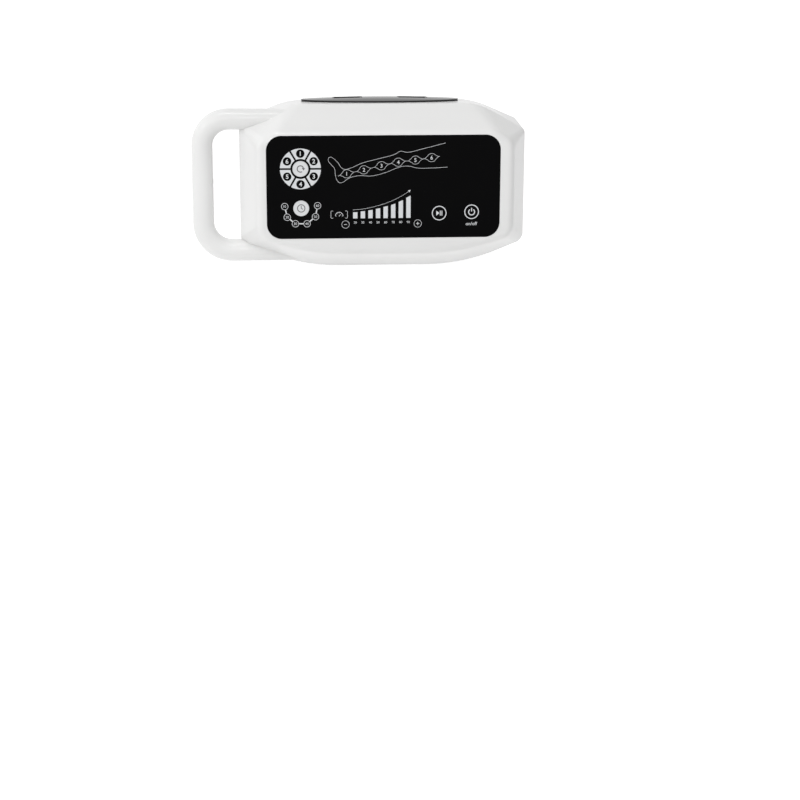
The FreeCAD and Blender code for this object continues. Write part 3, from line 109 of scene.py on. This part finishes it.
# Leg with its air chambers
LEG = [(66.2, 46.9), (40.9, 40.6), (24.2, 37.2), (18.1, 38.4), (11.9, 35.2), (-6.3, 30.4),
       (-23.1, 26.0), (-38.3, 19.8), (-41.8, 19.3), (-44.9, 20.6), (-49.2, 26.5), (-53.4, 30.6),
       (-56.6, 32.6), (-58.9, 31.8), (-59.6, 29.0), (-56.5, 24.6), (-53.0, 20.3), (-52.0, 13.7),
       (-50.5, 8.2), (-47.8, 5.2), (-44.6, 5.3), (-37.6, 9.8), (-27.0, 12.4), (-13.6, 12.0),
       (-0.4, 14.9), (19.4, 21.9), (26.8, 22.3), (36.0, 20.2), (50.9, 20.1), (68.6, 20.9)]
LEG_LINE = 0.36
CHAMBERS = [(-39.9, 14.6), (-21.4, 18.7), (-2.6, 22.9), (15.5, 26.6), (33.9, 28.8), (51.4, 31.3)]
CHAMBER_HALF_LONG, CHAMBER_HALF_HIGH = 7.6, 4.4
CHAMBER_STEPS = [(-1, 0), (-0.62, 0.42), (-0.3, 0.9), (0.3, 0.9), (0.62, 0.42), (1, 0)]
CHAMBER_DIGIT = 4.1
TAIL_FIRST, TAIL_LAST = (-1.9, -0.9), (1.3, 0.3)

# Signs on the keys, from each key's centre
TURN_IN, TURN_OUT = 2.9, 3.9
TURN_FROM, TURN_TO = 20, 300
TURN_HEAD = [(4.9, 0.9), (1.5, 1.1), (3.4, -1.7)]
CLOCK_RING, CLOCK_RIM = 4.4, 0.9
CLOCK_HANDS = [[(0, 2.7), (0, 0)], [(0, 0), (1.8, -1.0)]]
CLOCK_LINE = 0.8
SMALL_RING, SMALL_RIM = 4.25, 0.4
MINUS_HALF, PLUS_HALF = 1.6, 1.7
SIGN_HALF_LINE = 0.3
LARGE_RING, LARGE_RIM = 7.95, 1.0
PLAY = [(-3.2, -2.7), (0.3, 0), (-3.2, 2.7)]
PAUSE_STARTS = (0.7, 2.5)
PAUSE_WIDTH, PAUSE_HALF = 0.9, 2.7
POWER_IN, POWER_OUT = 2.7, 3.8
POWER_DROP = 0.2
POWER_FROM, POWER_TO = 125, 415
POWER_BAR_HALF = 0.55
POWER_BAR_LOW, POWER_BAR_HIGH = 0.4, 4.3
WORDS_DROP = 12.9
WORDS_HIGH = 3.6


# ---------------------------------------------------------------- material nodes

WAVE_RATE = 20                  # radians that a wave texture turns per unit at scale 1


def new_material(name, colour, roughness, **sockets):
    """A principled material with plain values on the shader's own sockets."""
    made = bpy.data.materials.new(name)
    made.use_nodes = True
    shader = shader_of(made)
    shader.inputs["Base Color"].default_value = (*colour, 1)
    shader.inputs["Roughness"].default_value = roughness
    for socket, value in sockets.items():
        shader.inputs[socket.replace("_", " ")].default_value = value
    return made


def shader_of(made):
    return made.node_tree.nodes["Principled BSDF"]


def add(made, kind, **values):
    """A new node; each value goes to the node's setting or else to its input of that name."""
    node = made.node_tree.nodes.new(kind)
    for name, value in values.items():
        if hasattr(node, name):
            setattr(node, name, value)
        else:
            node.inputs[name.replace("_", " ")].default_value = value
    return node


def link(made, source, target):
    made.node_tree.links.new(source, target)


def position(made):
    """The object's own coordinates, in metres."""
    return add(made, "ShaderNodeTexCoord").outputs["Object"]


def noise(made, size_mm, detail=2.0, stretch=None):
    """A noise pattern whose grains are about size_mm across, before any stretch."""
    node = add(made, "ShaderNodeTexNoise", Scale=1 / (size_mm * MM), Detail=detail)
    source = position(made)
    if stretch:
        mapping = add(made, "ShaderNodeMapping")
        mapping.inputs["Scale"].default_value = stretch
        link(made, source, mapping.inputs["Vector"])
        source = mapping.outputs["Vector"]
    link(made, source, node.inputs["Vector"])
    return node.outputs["Fac"]


def stripes(made, pitch_mm, axis):
    """Light and dark bands across an axis, each one pitch wide."""
    scale = math.pi / WAVE_RATE / (pitch_mm * MM)
    node = add(made, "ShaderNodeTexWave", bands_direction=axis, Scale=scale)
    link(made, position(made), node.inputs["Vector"])
    return node.outputs["Fac"]


def vary_colour(made, pattern, first, second, low=0.3, high=0.7):
    ramp = add(made, "ShaderNodeValToRGB")
    ramp.color_ramp.elements[0].position = low
    ramp.color_ramp.elements[1].position = high
    ramp.color_ramp.elements[0].color = (*first, 1)
    ramp.color_ramp.elements[1].color = (*second, 1)
    link(made, pattern, ramp.inputs["Fac"])
    link(made, ramp.outputs["Color"], shader_of(made).inputs["Base Color"])


def vary_roughness(made, pattern, roughness, shares):
    """Lets the roughness run between two shares of itself."""
    spread = add(made, "ShaderNodeMapRange")
    spread.inputs["To Min"].default_value = roughness * shares[0]
    spread.inputs["To Max"].default_value = roughness * shares[1]
    link(made, pattern, spread.inputs["Value"])
    link(made, spread.outputs["Result"], shader_of(made).inputs["Roughness"])


def bump(made, pattern, height_mm):
    node = add(made, "ShaderNodeBump", Strength=1.0, Distance=height_mm * MM)
    link(made, pattern, node.inputs["Height"])
    link(made, node.outputs["Normal"], shader_of(made).inputs["Normal"])


# ---------------------------------------------------------------- kinds of finish

# Sizes of the patterns in mm, and the shares between which a finish's roughness runs
MOULDED_DRIFT = 45
MOULDED_GLOSS_DRIFT = 18
MOULDED_GLOSS = (0.92, 1.1)
METAL_STAIN = 6
METAL_STAIN_SHADE = 0.14
METAL_SCRATCH = 1.5
METAL_GLOSS = (0.8, 1.25)
METAL_GRAIN, METAL_GRAIN_HIGH = 0.4, 0.004
METAL_DETAIL = 3.0
STRIPED_GLOSS_DRIFT = 3
STRIPED_GLOSS = (0.85, 1.15)


def darker(colour, share):
    return [value * (1 - share) for value in colour]


def moulded(name, colour, roughness, grain_mm, grain_high, shade, **sockets):
    """Moulded plastic, rubber or ink: fine grain, a soft drift of shade and of gloss."""
    made = new_material(name, colour, roughness, **sockets)
    vary_colour(made, noise(made, MOULDED_DRIFT), darker(colour, shade), colour)
    vary_roughness(made, noise(made, MOULDED_GLOSS_DRIFT), roughness, MOULDED_GLOSS)
    bump(made, noise(made, grain_mm), grain_high)
    return made


def metal(name, colour, roughness, brushed=None):
    """Metal with faint stains and scratches, drawn out along an axis where it is brushed."""
    made = new_material(name, colour, roughness, Metallic=1.0)
    stains = noise(made, METAL_STAIN, METAL_DETAIL, brushed)
    vary_colour(made, stains, darker(colour, METAL_STAIN_SHADE), colour)
    scratches = noise(made, METAL_SCRATCH, METAL_DETAIL, brushed)
    vary_roughness(made, scratches, roughness, METAL_GLOSS)
    bump(made, noise(made, METAL_GRAIN, stretch=brushed), METAL_GRAIN_HIGH)
    return made


def striped(name, first, second, pitch_mm, axis, roughness, height_mm, metallic=0.0):
    """Sheets, turns or strands laid side by side."""
    made = new_material(name, first, roughness, Metallic=metallic)
    pattern = stripes(made, pitch_mm, axis)
    vary_colour(made, pattern, first, second, low=0.2, high=0.8)
    vary_roughness(made, noise(made, STRIPED_GLOSS_DRIFT), roughness, STRIPED_GLOSS)
    bump(made, pattern, height_mm)
    return made


# ---------------------------------------------------------------- finishes by node

def case_finishes():
    """Outer shells, panel, keys, top plate and sockets."""
    white = moulded("housing_white", (0.80, 0.80, 0.795), 0.3, grain_mm=0.6, grain_high=0.004,
                    shade=0.012, Coat_Weight=0.25, Coat_Roughness=0.06, Specular_IOR_Level=0.3)
    black = moulded("panel_black", (0.0012, 0.0012, 0.0014), 0.11, grain_mm=1.2,
                    grain_high=0.0006, shade=0.2, Specular_IOR_Level=0.03)
    key_white = moulded("key_white", (0.70, 0.71, 0.72), 0.34, grain_mm=0.5, grain_high=0.006,
                        shade=0.02)
    dark = moulded("plate_dark", (0.004, 0.004, 0.005), 0.12, grain_mm=0.8, grain_high=0.001,
                   shade=0.1, Specular_IOR_Level=0.35)
    socket = moulded("socket_black", (0.022, 0.022, 0.024), 0.42, grain_mm=0.4, grain_high=0.01,
                     shade=0.1)
    return {
        white: ["front_housing", "rear_housing"],
        black: ["control_panel", "minus_key", "plus_key", "start_key", "power_key"],
        key_white: ["mode_key", "time_key"],
        dark: ["air_port_plate"],
        socket: ["left_air_socket", "right_air_socket", "power_inlet"],
    }


def soft_finishes():
    """Nylon, rubber and silicone."""
    nylon = moulded("nylon_white", (0.72, 0.71, 0.67), 0.45, grain_mm=0.8, grain_high=0.01,
                    shade=0.04)
    foot = moulded("foot_rubber", (0.42, 0.43, 0.44), 0.75, grain_mm=0.3, grain_high=0.03,
                   shade=0.08)
    pad = moulded("pad_rubber", (0.022, 0.022, 0.022), 0.7, grain_mm=0.3, grain_high=0.03,
                  shade=0.1)
    silicone = moulded("silicone", (0.66, 0.68, 0.69), 0.35, grain_mm=2.0, grain_high=0.01,
                       shade=0.04, Subsurface_Weight=0.15)
    return {
        nylon: ["left_swing_arm", "right_swing_arm", "pump_heads", "valve_block"],
        foot: ["rubber_feet"],
        pad: ["pump_dampers", "diaphragms"],
        silicone: ["supply_tubes", "port_tubes"],
    }


def metal_finishes():
    """Screws, sheet metal, pins, magnets and cans."""
    steel = metal("screw_steel", (0.52, 0.52, 0.53), 0.28)
    sheet_steel = metal("frame_steel", (0.56, 0.57, 0.58), 0.32, brushed=(1, 12, 12))
    brass = metal("contact_brass", (0.78, 0.62, 0.28), 0.2, brushed=(1, 0.1, 1))
    nickel = metal("magnet_nickel", (0.66, 0.65, 0.62), 0.14)
    can = metal("can_aluminium", (0.70, 0.71, 0.73), 0.25, brushed=(1, 0.2, 1))
    plungers = [f"valve_plunger_{number}" for number in range(1, 7)]
    return {
        steel: ["housing_screws", "grip_screw", "board_screws", "arm_pins"] + plungers,
        sheet_steel: ["pump_frame", "transformer_feet", "valve_coils"],
        brass: ["inlet_pins"],
        nickel: ["left_magnet", "right_magnet"],
        can: ["board_capacitors"],
    }


def electric_finishes():
    """Cores, windings, cable, boards and what sits on them."""
    core = striped("core_iron", (0.09, 0.085, 0.08), (0.16, 0.15, 0.145), pitch_mm=0.5, axis="Y",
                   roughness=0.55, height_mm=0.05)
    copper = striped("winding_copper", (0.34, 0.10, 0.035), (0.62, 0.24, 0.09), pitch_mm=0.45,
                     axis="Z", roughness=0.3, height_mm=0.08, metallic=1.0)
    cable = striped("cable_grey", (0.36, 0.37, 0.39), (0.55, 0.56, 0.58), pitch_mm=1.27, axis="X",
                    roughness=0.45, height_mm=0.12)
    board = moulded("board_green", (0.02, 0.16, 0.07), 0.35, grain_mm=0.5, grain_high=0.01,
                    shade=0.25)
    switch = moulded("switch_black", (0.02, 0.02, 0.02), 0.4, grain_mm=0.3, grain_high=0.01,
                     shade=0.1)
    cream = moulded("plug_cream", (0.80, 0.76, 0.62), 0.4, grain_mm=0.5, grain_high=0.008,
                    shade=0.04)
    lamp = moulded("lamp_clear", (0.80, 0.83, 0.80), 0.12, grain_mm=0.5, grain_high=0.002,
                   shade=0.02, Transmission_Weight=0.7)
    return {
        core: ["pump_core", "transformer_core"],
        copper: ["pump_coil", "transformer_coil"],
        cable: ["ribbon_cable"],
        board: ["key_board", "main_board"],
        switch: ["tact_switches", "pressure_sensor"],
        cream: ["board_connectors"],
        lamp: ["indicator_lamps"],
    }


def dress_nodes():
    for finishes in (case_finishes(), soft_finishes(), metal_finishes(), electric_finishes()):
        for finish, nodes in finishes.items():
            for node in nodes:
                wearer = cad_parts[node]
                wearer.data.materials.clear()
                wearer.data.materials.append(finish)


# ---------------------------------------------------------------- points of flat shapes

CIRCLE_STEPS = 72
ARC_STEPS = 24


def round_point(x, z, radius, angle):
    """The point at an angle in degrees on a circle."""
    turn = math.radians(angle)
    return x + radius * math.cos(turn), z + radius * math.sin(turn)


def circle_points(x, z, radius):
    return [round_point(x, z, radius, 360 * step / CIRCLE_STEPS)
            for step in range(CIRCLE_STEPS)]


def arc_points(x, z, radius, start, end):
    return [round_point(x, z, radius, start + (end - start) * step / ARC_STEPS)
            for step in range(ARC_STEPS + 1)]


def arc_band(x, z, inner, outer, start, end):
    """A closed band between two radii."""
    return (arc_points(x, z, outer, start, end)
            + arc_points(x, z, inner, start, end)[::-1])


def ring_loops(x, z, outer, width):
    return [circle_points(x, z, outer), circle_points(x, z, outer - width)]


def bar_points(left, low, right, high):
    """The corners of an upright rectangle."""
    return [(left, low), (right, low), (right, high), (left, high)]


def placed(points, x, z):
    """Points moved to a centre."""
    return [(x + across, z + up) for across, up in points]


# ---------------------------------------------------------------- flat prints

def as_mesh(curve_data, name):
    """A mesh object made from a curve or text that lies in its own XY plane."""
    drawn = bpy.data.objects.new(f"{name}_drawn", curve_data)
    bpy.context.scene.collection.objects.link(drawn)
    bpy.context.view_layer.update()
    seen = drawn.evaluated_get(bpy.context.evaluated_depsgraph_get())
    mesh = bpy.data.meshes.new_from_object(seen)
    bpy.data.objects.remove(drawn)
    made = bpy.data.objects.new(name, mesh)
    bpy.context.scene.collection.objects.link(made)
    return made


def filled(*loops):
    """Closed loops of points in millimetres, filled; a loop inside another is a hole."""
    data = bpy.data.curves.new("shape", "CURVE")
    data.dimensions = "2D"
    data.fill_mode = "BOTH"
    data.extrude = (PRINT_THICK + PRINT_SINK) / 2
    for loop in loops:
        spline = data.splines.new("POLY")
        spline.points.add(len(loop) - 1)
        for point, (x, z) in zip(spline.points, loop):
            point.co = (x, z, 0, 1)
        spline.use_cyclic_u = True
    return as_mesh(data, "shape")


def stroke(points, width):
    """A smooth flat line through the points, in millimetres."""
    data = bpy.data.curves.new("stroke", "CURVE")
    data.dimensions = "3D"
    data.bevel_depth = width / 2
    data.bevel_resolution = 3
    data.use_fill_caps = True
    data.resolution_u = 10
    spline = data.splines.new("BEZIER")
    spline.bezier_points.add(len(points) - 1)
    for knot, (x, z) in zip(spline.bezier_points, points):
        knot.co = (x, z, 0)
        knot.handle_left_type = "AUTO"
        knot.handle_right_type = "AUTO"
    made = as_mesh(data, "stroke")
    made.data.transform(Matrix.Diagonal((1, 1, (PRINT_THICK + PRINT_SINK) / width, 1)))
    return made


def lettering(words, x, z, height, bold):
    """Words centred on a point; height is a digit's, bold a share of it added all round."""
    data = bpy.data.curves.new("lettering", "FONT")
    data.body = words
    data.size = height / DIGIT_SHARE
    data.offset = bold * height
    data.align_x = "CENTER"
    data.align_y = "CENTER"
    data.extrude = (PRINT_THICK + PRINT_SINK) / 2
    data.resolution_u = 4
    made = as_mesh(data, "lettering")
    low, high = mesh_box(made)
    shift = Vector((x, z, 0)) - Vector(((low.x + high.x) / 2, (low.y + high.y) / 2, 0))
    made.data.transform(Matrix.Translation(shift))
    return made


def mesh_box(made):
    points = [vertex.co for vertex in made.data.vertices]
    low = Vector([min(point[axis] for point in points) for axis in range(3)])
    high = Vector([max(point[axis] for point in points) for axis in range(3)])
    return low, high


def printed(name, shapes, ink, body, face_y=FACE_Y):
    """Joins flat shapes into one print that lies on a face and rides on a body."""
    bpy.ops.object.select_all(action="DESELECT")
    for shape in shapes:
        shape.select_set(True)
    bpy.context.view_layer.objects.active = shapes[0]
    if len(shapes) > 1:
        bpy.ops.object.join()
    made = bpy.context.view_layer.objects.active
    made.name = name
    made.data.name = name
    middle_y = face_y - (PRINT_THICK - PRINT_SINK) / 2 * MM
    stand = (Matrix.Translation((PANEL.x, middle_y, PANEL.z))
             @ Matrix.Rotation(math.radians(90), 4, "X") @ Matrix.Diagonal((MM, MM, MM, 1)))
    made.data.transform(stand)
    made.data.materials.clear()
    made.data.materials.append(ink)
    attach(made, body)


# ---------------------------------------------------------------- panel graphics

def mode_wheel(ink):
    """Sectors round the mode key, each with a number in a dark disc."""
    x, z = key_place("mode_key")
    half = 180 / WHEEL_SECTORS
    trim_out = math.degrees(math.asin(WHEEL_SPOKE / 2 / WHEEL_OUT))
    trim_in = math.degrees(math.asin(WHEEL_SPOKE / 2 / WHEEL_IN))
    shapes = []
    for number in range(WHEEL_SECTORS):
        middle = 90 - 2 * half * number
        outer = arc_points(x, z, WHEEL_OUT, middle - half + trim_out, middle + half - trim_out)
        inner = arc_points(x, z, WHEEL_IN, middle - half + trim_in, middle + half - trim_in)
        spot = round_point(x, z, WHEEL_RING, middle)
        shapes.append(filled(outer + inner[::-1], circle_points(*spot, WHEEL_HOLE)))
        shapes.append(lettering(str(number + 1), *spot, WHEEL_DIGIT, bold=0.03))
    printed("mode_wheel_print", shapes, ink, "housing")


def timer_ring(ink):
    """Numbered rings in a loop under the time key, joined by short links."""
    spots = [round_point(*key_place("time_key"), TIMER_RING, angle) for angle in TIMER_ANGLES]
    shapes = []
    for number, spot in enumerate(spots, 1):
        shapes.append(filled(*ring_loops(*spot, TIMER_HOOP, TIMER_LINE)))
        shapes.append(lettering(str(number * TIMER_STEP), *spot, TIMER_DIGIT, bold=0.0))
    for start, end in zip(spots, spots[1:]):
        run = Vector(end) - Vector(start)
        inset = run.normalized() * LINK_START
        first, last = Vector(start) + inset, Vector(end) - inset
        side = Vector((-run.y, run.x)).normalized() * LINK_WIDTH / 2
        shapes.append(filled([first + side, last + side, last - side, first - side]))
    printed("timer_print", shapes, ink, "housing")


def pressure_scale(ink):
    """Rising bars with a small scale under them and an arrow over them."""
    shapes = []
    first_x, foot = BAR_FIRST
    for index, height in enumerate(BAR_HEIGHTS):
        x = first_x + index * BAR_PITCH
        share = (index / (len(BAR_HEIGHTS) - 1)) ** SLANT_POWER
        slant = BAR_SLANT_FIRST + (BAR_SLANT_LAST - BAR_SLANT_FIRST) * share
        left, right = x - BAR_WIDTH / 2, x + BAR_WIDTH / 2
        shapes.append(filled([(left, foot), (right, foot), (right, foot + height + slant),
                              (left, foot + height - slant)]))
        value = str(SCALE_FIRST + SCALE_STEP * index)
        shapes.append(lettering(value, x, foot - SCALE_DROP, SCALE_DIGIT, bold=0.005))
    shapes.append(stroke(RISE, RISE_LINE))
    shapes.append(filled(RISE_HEAD))
    printed("pressure_print", shapes, ink, "housing")


def bracket(side, way):
    """A square bracket with small round corners, open to the right (1) or to the left (-1)."""
    corner = BRACKET_CORNER
    steps = [BRACKET_TICK, 2 * corner, corner]
    lower = [(side + way * step, BRACKET_LOW) for step in steps]
    upper = [(side + way * step, BRACKET_HIGH) for step in reversed(steps)]
    post = [(side, BRACKET_LOW + corner), (side, BRACKET_LOW + 2 * corner),
            (side, BRACKET_HIGH - 2 * corner), (side, BRACKET_HIGH - corner)]
    return stroke(lower + post + upper, BRACKET_LINE)


def gauge_mark(ink):
    """Square brackets round a small dial mark."""
    x, z = (BRACKET_LEFT + BRACKET_RIGHT) / 2, BRACKET_LOW + DIAL_RISE
    shapes = [bracket(BRACKET_LEFT, 1), bracket(BRACKET_RIGHT, -1)]
    shapes.append(filled(arc_band(x, z, DIAL_IN, DIAL_OUT, 0, 180)))
    for angle in DIAL_MARKS:
        shapes.append(filled(arc_band(x, z, MARK_IN, MARK_OUT, angle - MARK_HALF,
                                      angle + MARK_HALF)))
    shapes.append(filled(placed(NEEDLE, x, z)))
    printed("gauge_print", shapes, ink, "housing")


def chamber_lines(middle, along):
    """The upper and the lower line of an air chamber that lies along a direction."""
    across = Vector((-along.y, along.x))
    lines = []
    for side in (1, -1):
        points = [middle + along * (CHAMBER_HALF_LONG * share)
                  + across * (side * CHAMBER_HALF_HIGH * lift)
                  for share, lift in CHAMBER_STEPS]
        lines.append(stroke(points, LEG_LINE))
    return lines


def leg_diagram(ink):
    """A plain outline of a leg with numbered air chambers along it."""
    shapes = [stroke(LEG, LEG_LINE)]
    tips = []
    for number, place in enumerate(CHAMBERS, 1):
        before = CHAMBERS[max(number - 2, 0)]
        after = CHAMBERS[min(number, len(CHAMBERS) - 1)]
        along = (Vector(after) - Vector(before)).normalized()
        middle = Vector(place)
        shapes += chamber_lines(middle, along)
        tips.append((middle - along * CHAMBER_HALF_LONG, middle + along * CHAMBER_HALF_LONG))
        shapes.append(lettering(str(number), *place, CHAMBER_DIGIT, bold=0.01))
    for (_, start), (end, _) in zip(tips, tips[1:]):
        shapes.append(stroke([start, end], LEG_LINE))
    for tip, tail in ((tips[0][0], TAIL_FIRST), (tips[-1][1], TAIL_LAST)):
        shapes.append(stroke([tip, tip + Vector(tail)], LEG_LINE))
    printed("leg_print", shapes, ink, "housing")


def switch_words(ink):
    """The plain words under the power key."""
    x, z = key_place("power_key")
    words = lettering("on/off", x, z - WORDS_DROP, WORDS_HIGH, bold=0.01)
    printed("switch_print", [words], ink, "housing")


# ---------------------------------------------------------------- key graphics

def on_key(node, shapes, ink):
    """Prints shapes on a cap; they travel with it."""
    low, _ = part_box(node)
    printed(f"{node}_print", shapes, ink, f"{node}_cap", low.y)


def mode_sign(ink):
    """A turning arrow."""
    x, z = key_place("mode_key")
    on_key("mode_key", [filled(arc_band(x, z, TURN_IN, TURN_OUT, TURN_FROM, TURN_TO)),
                        filled(placed(TURN_HEAD, x, z))], ink)


def time_sign(ink):
    """A clock face."""
    x, z = key_place("time_key")
    hands = [stroke(placed(hand, x, z), CLOCK_LINE) for hand in CLOCK_HANDS]
    on_key("time_key", [filled(*ring_loops(x, z, CLOCK_RING, CLOCK_RIM))] + hands, ink)


def minus_sign(ink):
    x, z = key_place("minus_key")
    bar = bar_points(-MINUS_HALF, -SIGN_HALF_LINE, MINUS_HALF, SIGN_HALF_LINE)
    on_key("minus_key", [filled(*ring_loops(x, z, SMALL_RING, SMALL_RIM)),
                         filled(placed(bar, x, z))], ink)


def plus_sign(ink):
    x, z = key_place("plus_key")
    long, thin = PLUS_HALF, SIGN_HALF_LINE
    cross = [(-long, -thin), (-thin, -thin), (-thin, -long), (thin, -long), (thin, -thin),
             (long, -thin), (long, thin), (thin, thin), (thin, long), (-thin, long),
             (-thin, thin), (-long, thin)]
    on_key("plus_key", [filled(*ring_loops(x, z, SMALL_RING, SMALL_RIM)),
                        filled(placed(cross, x, z))], ink)


def start_sign(ink):
    """A triangle and two bars in a ring: start and pause."""
    x, z = key_place("start_key")
    shapes = [filled(*ring_loops(x, z, LARGE_RING, LARGE_RIM)), filled(placed(PLAY, x, z))]
    for start in PAUSE_STARTS:
        bar = bar_points(start, -PAUSE_HALF, start + PAUSE_WIDTH, PAUSE_HALF)
        shapes.append(filled(placed(bar, x, z)))
    on_key("start_key", shapes, ink)


def power_sign(ink):
    """An open circle with a bar in its gap, in a ring."""
    x, z = key_place("power_key")
    bar = bar_points(-POWER_BAR_HALF, POWER_BAR_LOW, POWER_BAR_HALF, POWER_BAR_HIGH)
    circle = arc_band(x, z - POWER_DROP, POWER_IN, POWER_OUT, POWER_FROM, POWER_TO)
    on_key("power_key", [filled(*ring_loops(x, z, LARGE_RING, LARGE_RIM)), filled(circle),
                         filled(placed(bar, x, z))], ink)


def all_prints():
    white_ink = moulded("print_white", (0.69, 0.705, 0.725), 0.4, grain_mm=0.35,
                        grain_high=0.004, shade=0.05)
    grey_ink = moulded("print_grey", (0.10, 0.10, 0.105), 0.4, grain_mm=0.35, grain_high=0.004,
                       shade=0.1)
    for graphic in (mode_wheel, timer_ring, pressure_scale, gauge_mark, leg_diagram):
        graphic(white_ink)
    for sign in (mode_sign, time_sign):
        sign(grey_ink)
    for sign in (minus_sign, plus_sign, start_sign, power_sign, switch_words):
        sign(white_ink)


# ---------------------------------------------------------------- stage

FLOOR_SIZE = 30
FLOOR_COLOUR = (0.6, 0.6, 0.6)
FLOOR_ROUGHNESS = 0.9
FLOOR_GLOW = 0.41               # the floor's own light for every ray
FLOOR_SEEN = 0.32               # what is added where it is seen directly

ROOM_LEVEL = 0.91
ROOM_RIGHT = 0.12               # share of the level that is left on the far right
ROOM_FRONT = 0.72               # share that is left in front
RIGHT_FADE = (0.0, 0.8)         # where each fade starts and ends, on the unit sphere
FRONT_FADE = (-0.95, -0.4)


def seen_directly(tree):
    """One for rays of the camera, a mirror or clear glass, else zero."""
    path = tree.nodes.new("ShaderNodeLightPath")
    total = path.outputs["Is Camera Ray"]
    for kind in ("Is Glossy Ray", "Is Transmission Ray"):
        both = tree.nodes.new("ShaderNodeMath")
        both.use_clamp = True
        tree.links.new(total, both.inputs[0])
        tree.links.new(path.outputs[kind], both.inputs[1])
        total = both.outputs[0]
    return total


def pale_floor():
    """A white floor that still takes the object's shadow."""
    bpy.ops.mesh.primitive_plane_add(size=FLOOR_SIZE, location=(0, 0, 0))
    floor = bpy.context.active_object
    floor.name = "floor"
    made = new_material("floor_pale", FLOOR_COLOUR, FLOOR_ROUGHNESS, Specular_IOR_Level=0.0)
    share = add(made, "ShaderNodeMath", operation="MULTIPLY_ADD")
    share.inputs[1].default_value = FLOOR_SEEN
    share.inputs[2].default_value = FLOOR_GLOW
    link(made, seen_directly(made.node_tree), share.inputs[0])
    glow = add(made, "ShaderNodeEmission", Color=(1, 1, 1, 1))
    link(made, share.outputs[0], glow.inputs["Strength"])
    both = add(made, "ShaderNodeAddShader")
    link(made, shader_of(made).outputs["BSDF"], both.inputs[0])
    link(made, glow.outputs["Emission"], both.inputs[1])
    link(made, both.outputs["Shader"], made.node_tree.nodes["Material Output"].inputs["Surface"])
    floor.data.materials.append(made)


def fade(tree, source, ends, first, last):
    """A value that runs from first to last while the source runs between two ends."""
    node = tree.nodes.new("ShaderNodeMapRange")
    node.inputs["From Min"].default_value, node.inputs["From Max"].default_value = ends
    node.inputs["To Min"].default_value = first
    node.inputs["To Max"].default_value = last
    tree.links.new(source, node.inputs["Value"])
    return node.outputs["Result"]


def soft_world():
    """An even white room that is dimmer on the right and in front; seen directly it is white."""
    world = bpy.data.worlds.new("studio")
    world.use_nodes = True
    bpy.context.scene.world = world
    tree = world.node_tree
    room = tree.nodes["Background"]
    room.inputs["Color"].default_value = (1, 1, 1, 1)
    heading = tree.nodes.new("ShaderNodeTexCoord")
    split = tree.nodes.new("ShaderNodeSeparateXYZ")
    tree.links.new(heading.outputs["Generated"], split.inputs[0])
    right = fade(tree, split.outputs["X"], RIGHT_FADE, ROOM_LEVEL, ROOM_LEVEL * ROOM_RIGHT)
    front = fade(tree, split.outputs["Y"], FRONT_FADE, ROOM_FRONT, 1.0)
    strength = tree.nodes.new("ShaderNodeMath")
    strength.operation = "MULTIPLY"
    tree.links.new(right, strength.inputs[0])
    tree.links.new(front, strength.inputs[1])
    tree.links.new(strength.outputs[0], room.inputs["Strength"])
    backdrop = tree.nodes.new("ShaderNodeBackground")
    backdrop.inputs["Color"].default_value = (1, 1, 1, 1)
    mix = tree.nodes.new("ShaderNodeMixShader")
    tree.links.new(seen_directly(tree), mix.inputs["Fac"])
    tree.links.new(room.outputs["Background"], mix.inputs[1])
    tree.links.new(backdrop.outputs["Background"], mix.inputs[2])
    tree.links.new(mix.outputs["Shader"], tree.nodes["World Output"].inputs["Surface"])


# ---------------------------------------------------------------- lights and camera

CAMERA_YAW, CAMERA_PITCH, CAMERA_ROLL = 4.472, 15.593, 0.23     # degrees
CAMERA_FROM_PANEL = Vector((-0.13988, -2.02425, 0.32841))
CAMERA_LENS, CAMERA_SENSOR = 85.5, 36.0


def softbox(name, place, aim, width, height, watts):
    data = bpy.data.lights.new(name, "AREA")
    data.shape = "RECTANGLE"
    data.size = width
    data.size_y = height
    data.energy = watts
    lamp = bpy.data.objects.new(name, data)
    lamp.location = place
    lamp.rotation_mode = "QUATERNION"
    lamp.rotation_quaternion = (Vector(aim) - Vector(place)).to_track_quat("-Z", "Y")
    bpy.context.scene.collection.objects.link(lamp)


def studio_lights():
    softbox("key_light", place=(-1.4, -1.0, 1.0), aim=(0, 0, 0.09), width=0.3, height=0.12,
            watts=2.8)
    softbox("top_light", place=(-0.3, -0.4, 1.9), aim=(0, 0, 0.1), width=0.9, height=0.15,
            watts=5.5)
    softbox("front_light", place=(-0.2, -1.7, 1.0), aim=(0, 0, 0.09), width=1.2, height=0.1,
            watts=5)


def photo_camera():
    """A long lens in front, a little to the left and above, looking slightly down."""
    yaw, pitch, roll = map(math.radians, (CAMERA_YAW, CAMERA_PITCH, CAMERA_ROLL))
    look = Vector((math.sin(yaw) * math.cos(pitch), math.cos(yaw) * math.cos(pitch),
                   -math.sin(pitch)))
    level = Vector((math.cos(yaw), -math.sin(yaw), 0))
    upright = level.cross(look)
    right = level * math.cos(roll) + upright * math.sin(roll)
    up = upright * math.cos(roll) - level * math.sin(roll)
    data = bpy.data.cameras.new("camera")
    data.sensor_width = CAMERA_SENSOR
    data.lens = CAMERA_LENS
    camera = bpy.data.objects.new("camera", data)
    turn = Matrix((right, up, -look)).transposed()
    camera.matrix_world = Matrix.Translation(PANEL + CAMERA_FROM_PANEL) @ turn.to_4x4()
    bpy.context.scene.collection.objects.link(camera)
    bpy.context.scene.camera = camera


dress_nodes()
all_prints()
pale_floor()
soft_world()
studio_lights()
photo_camera()
bpy.context.scene.view_settings.view_transform = "Standard"
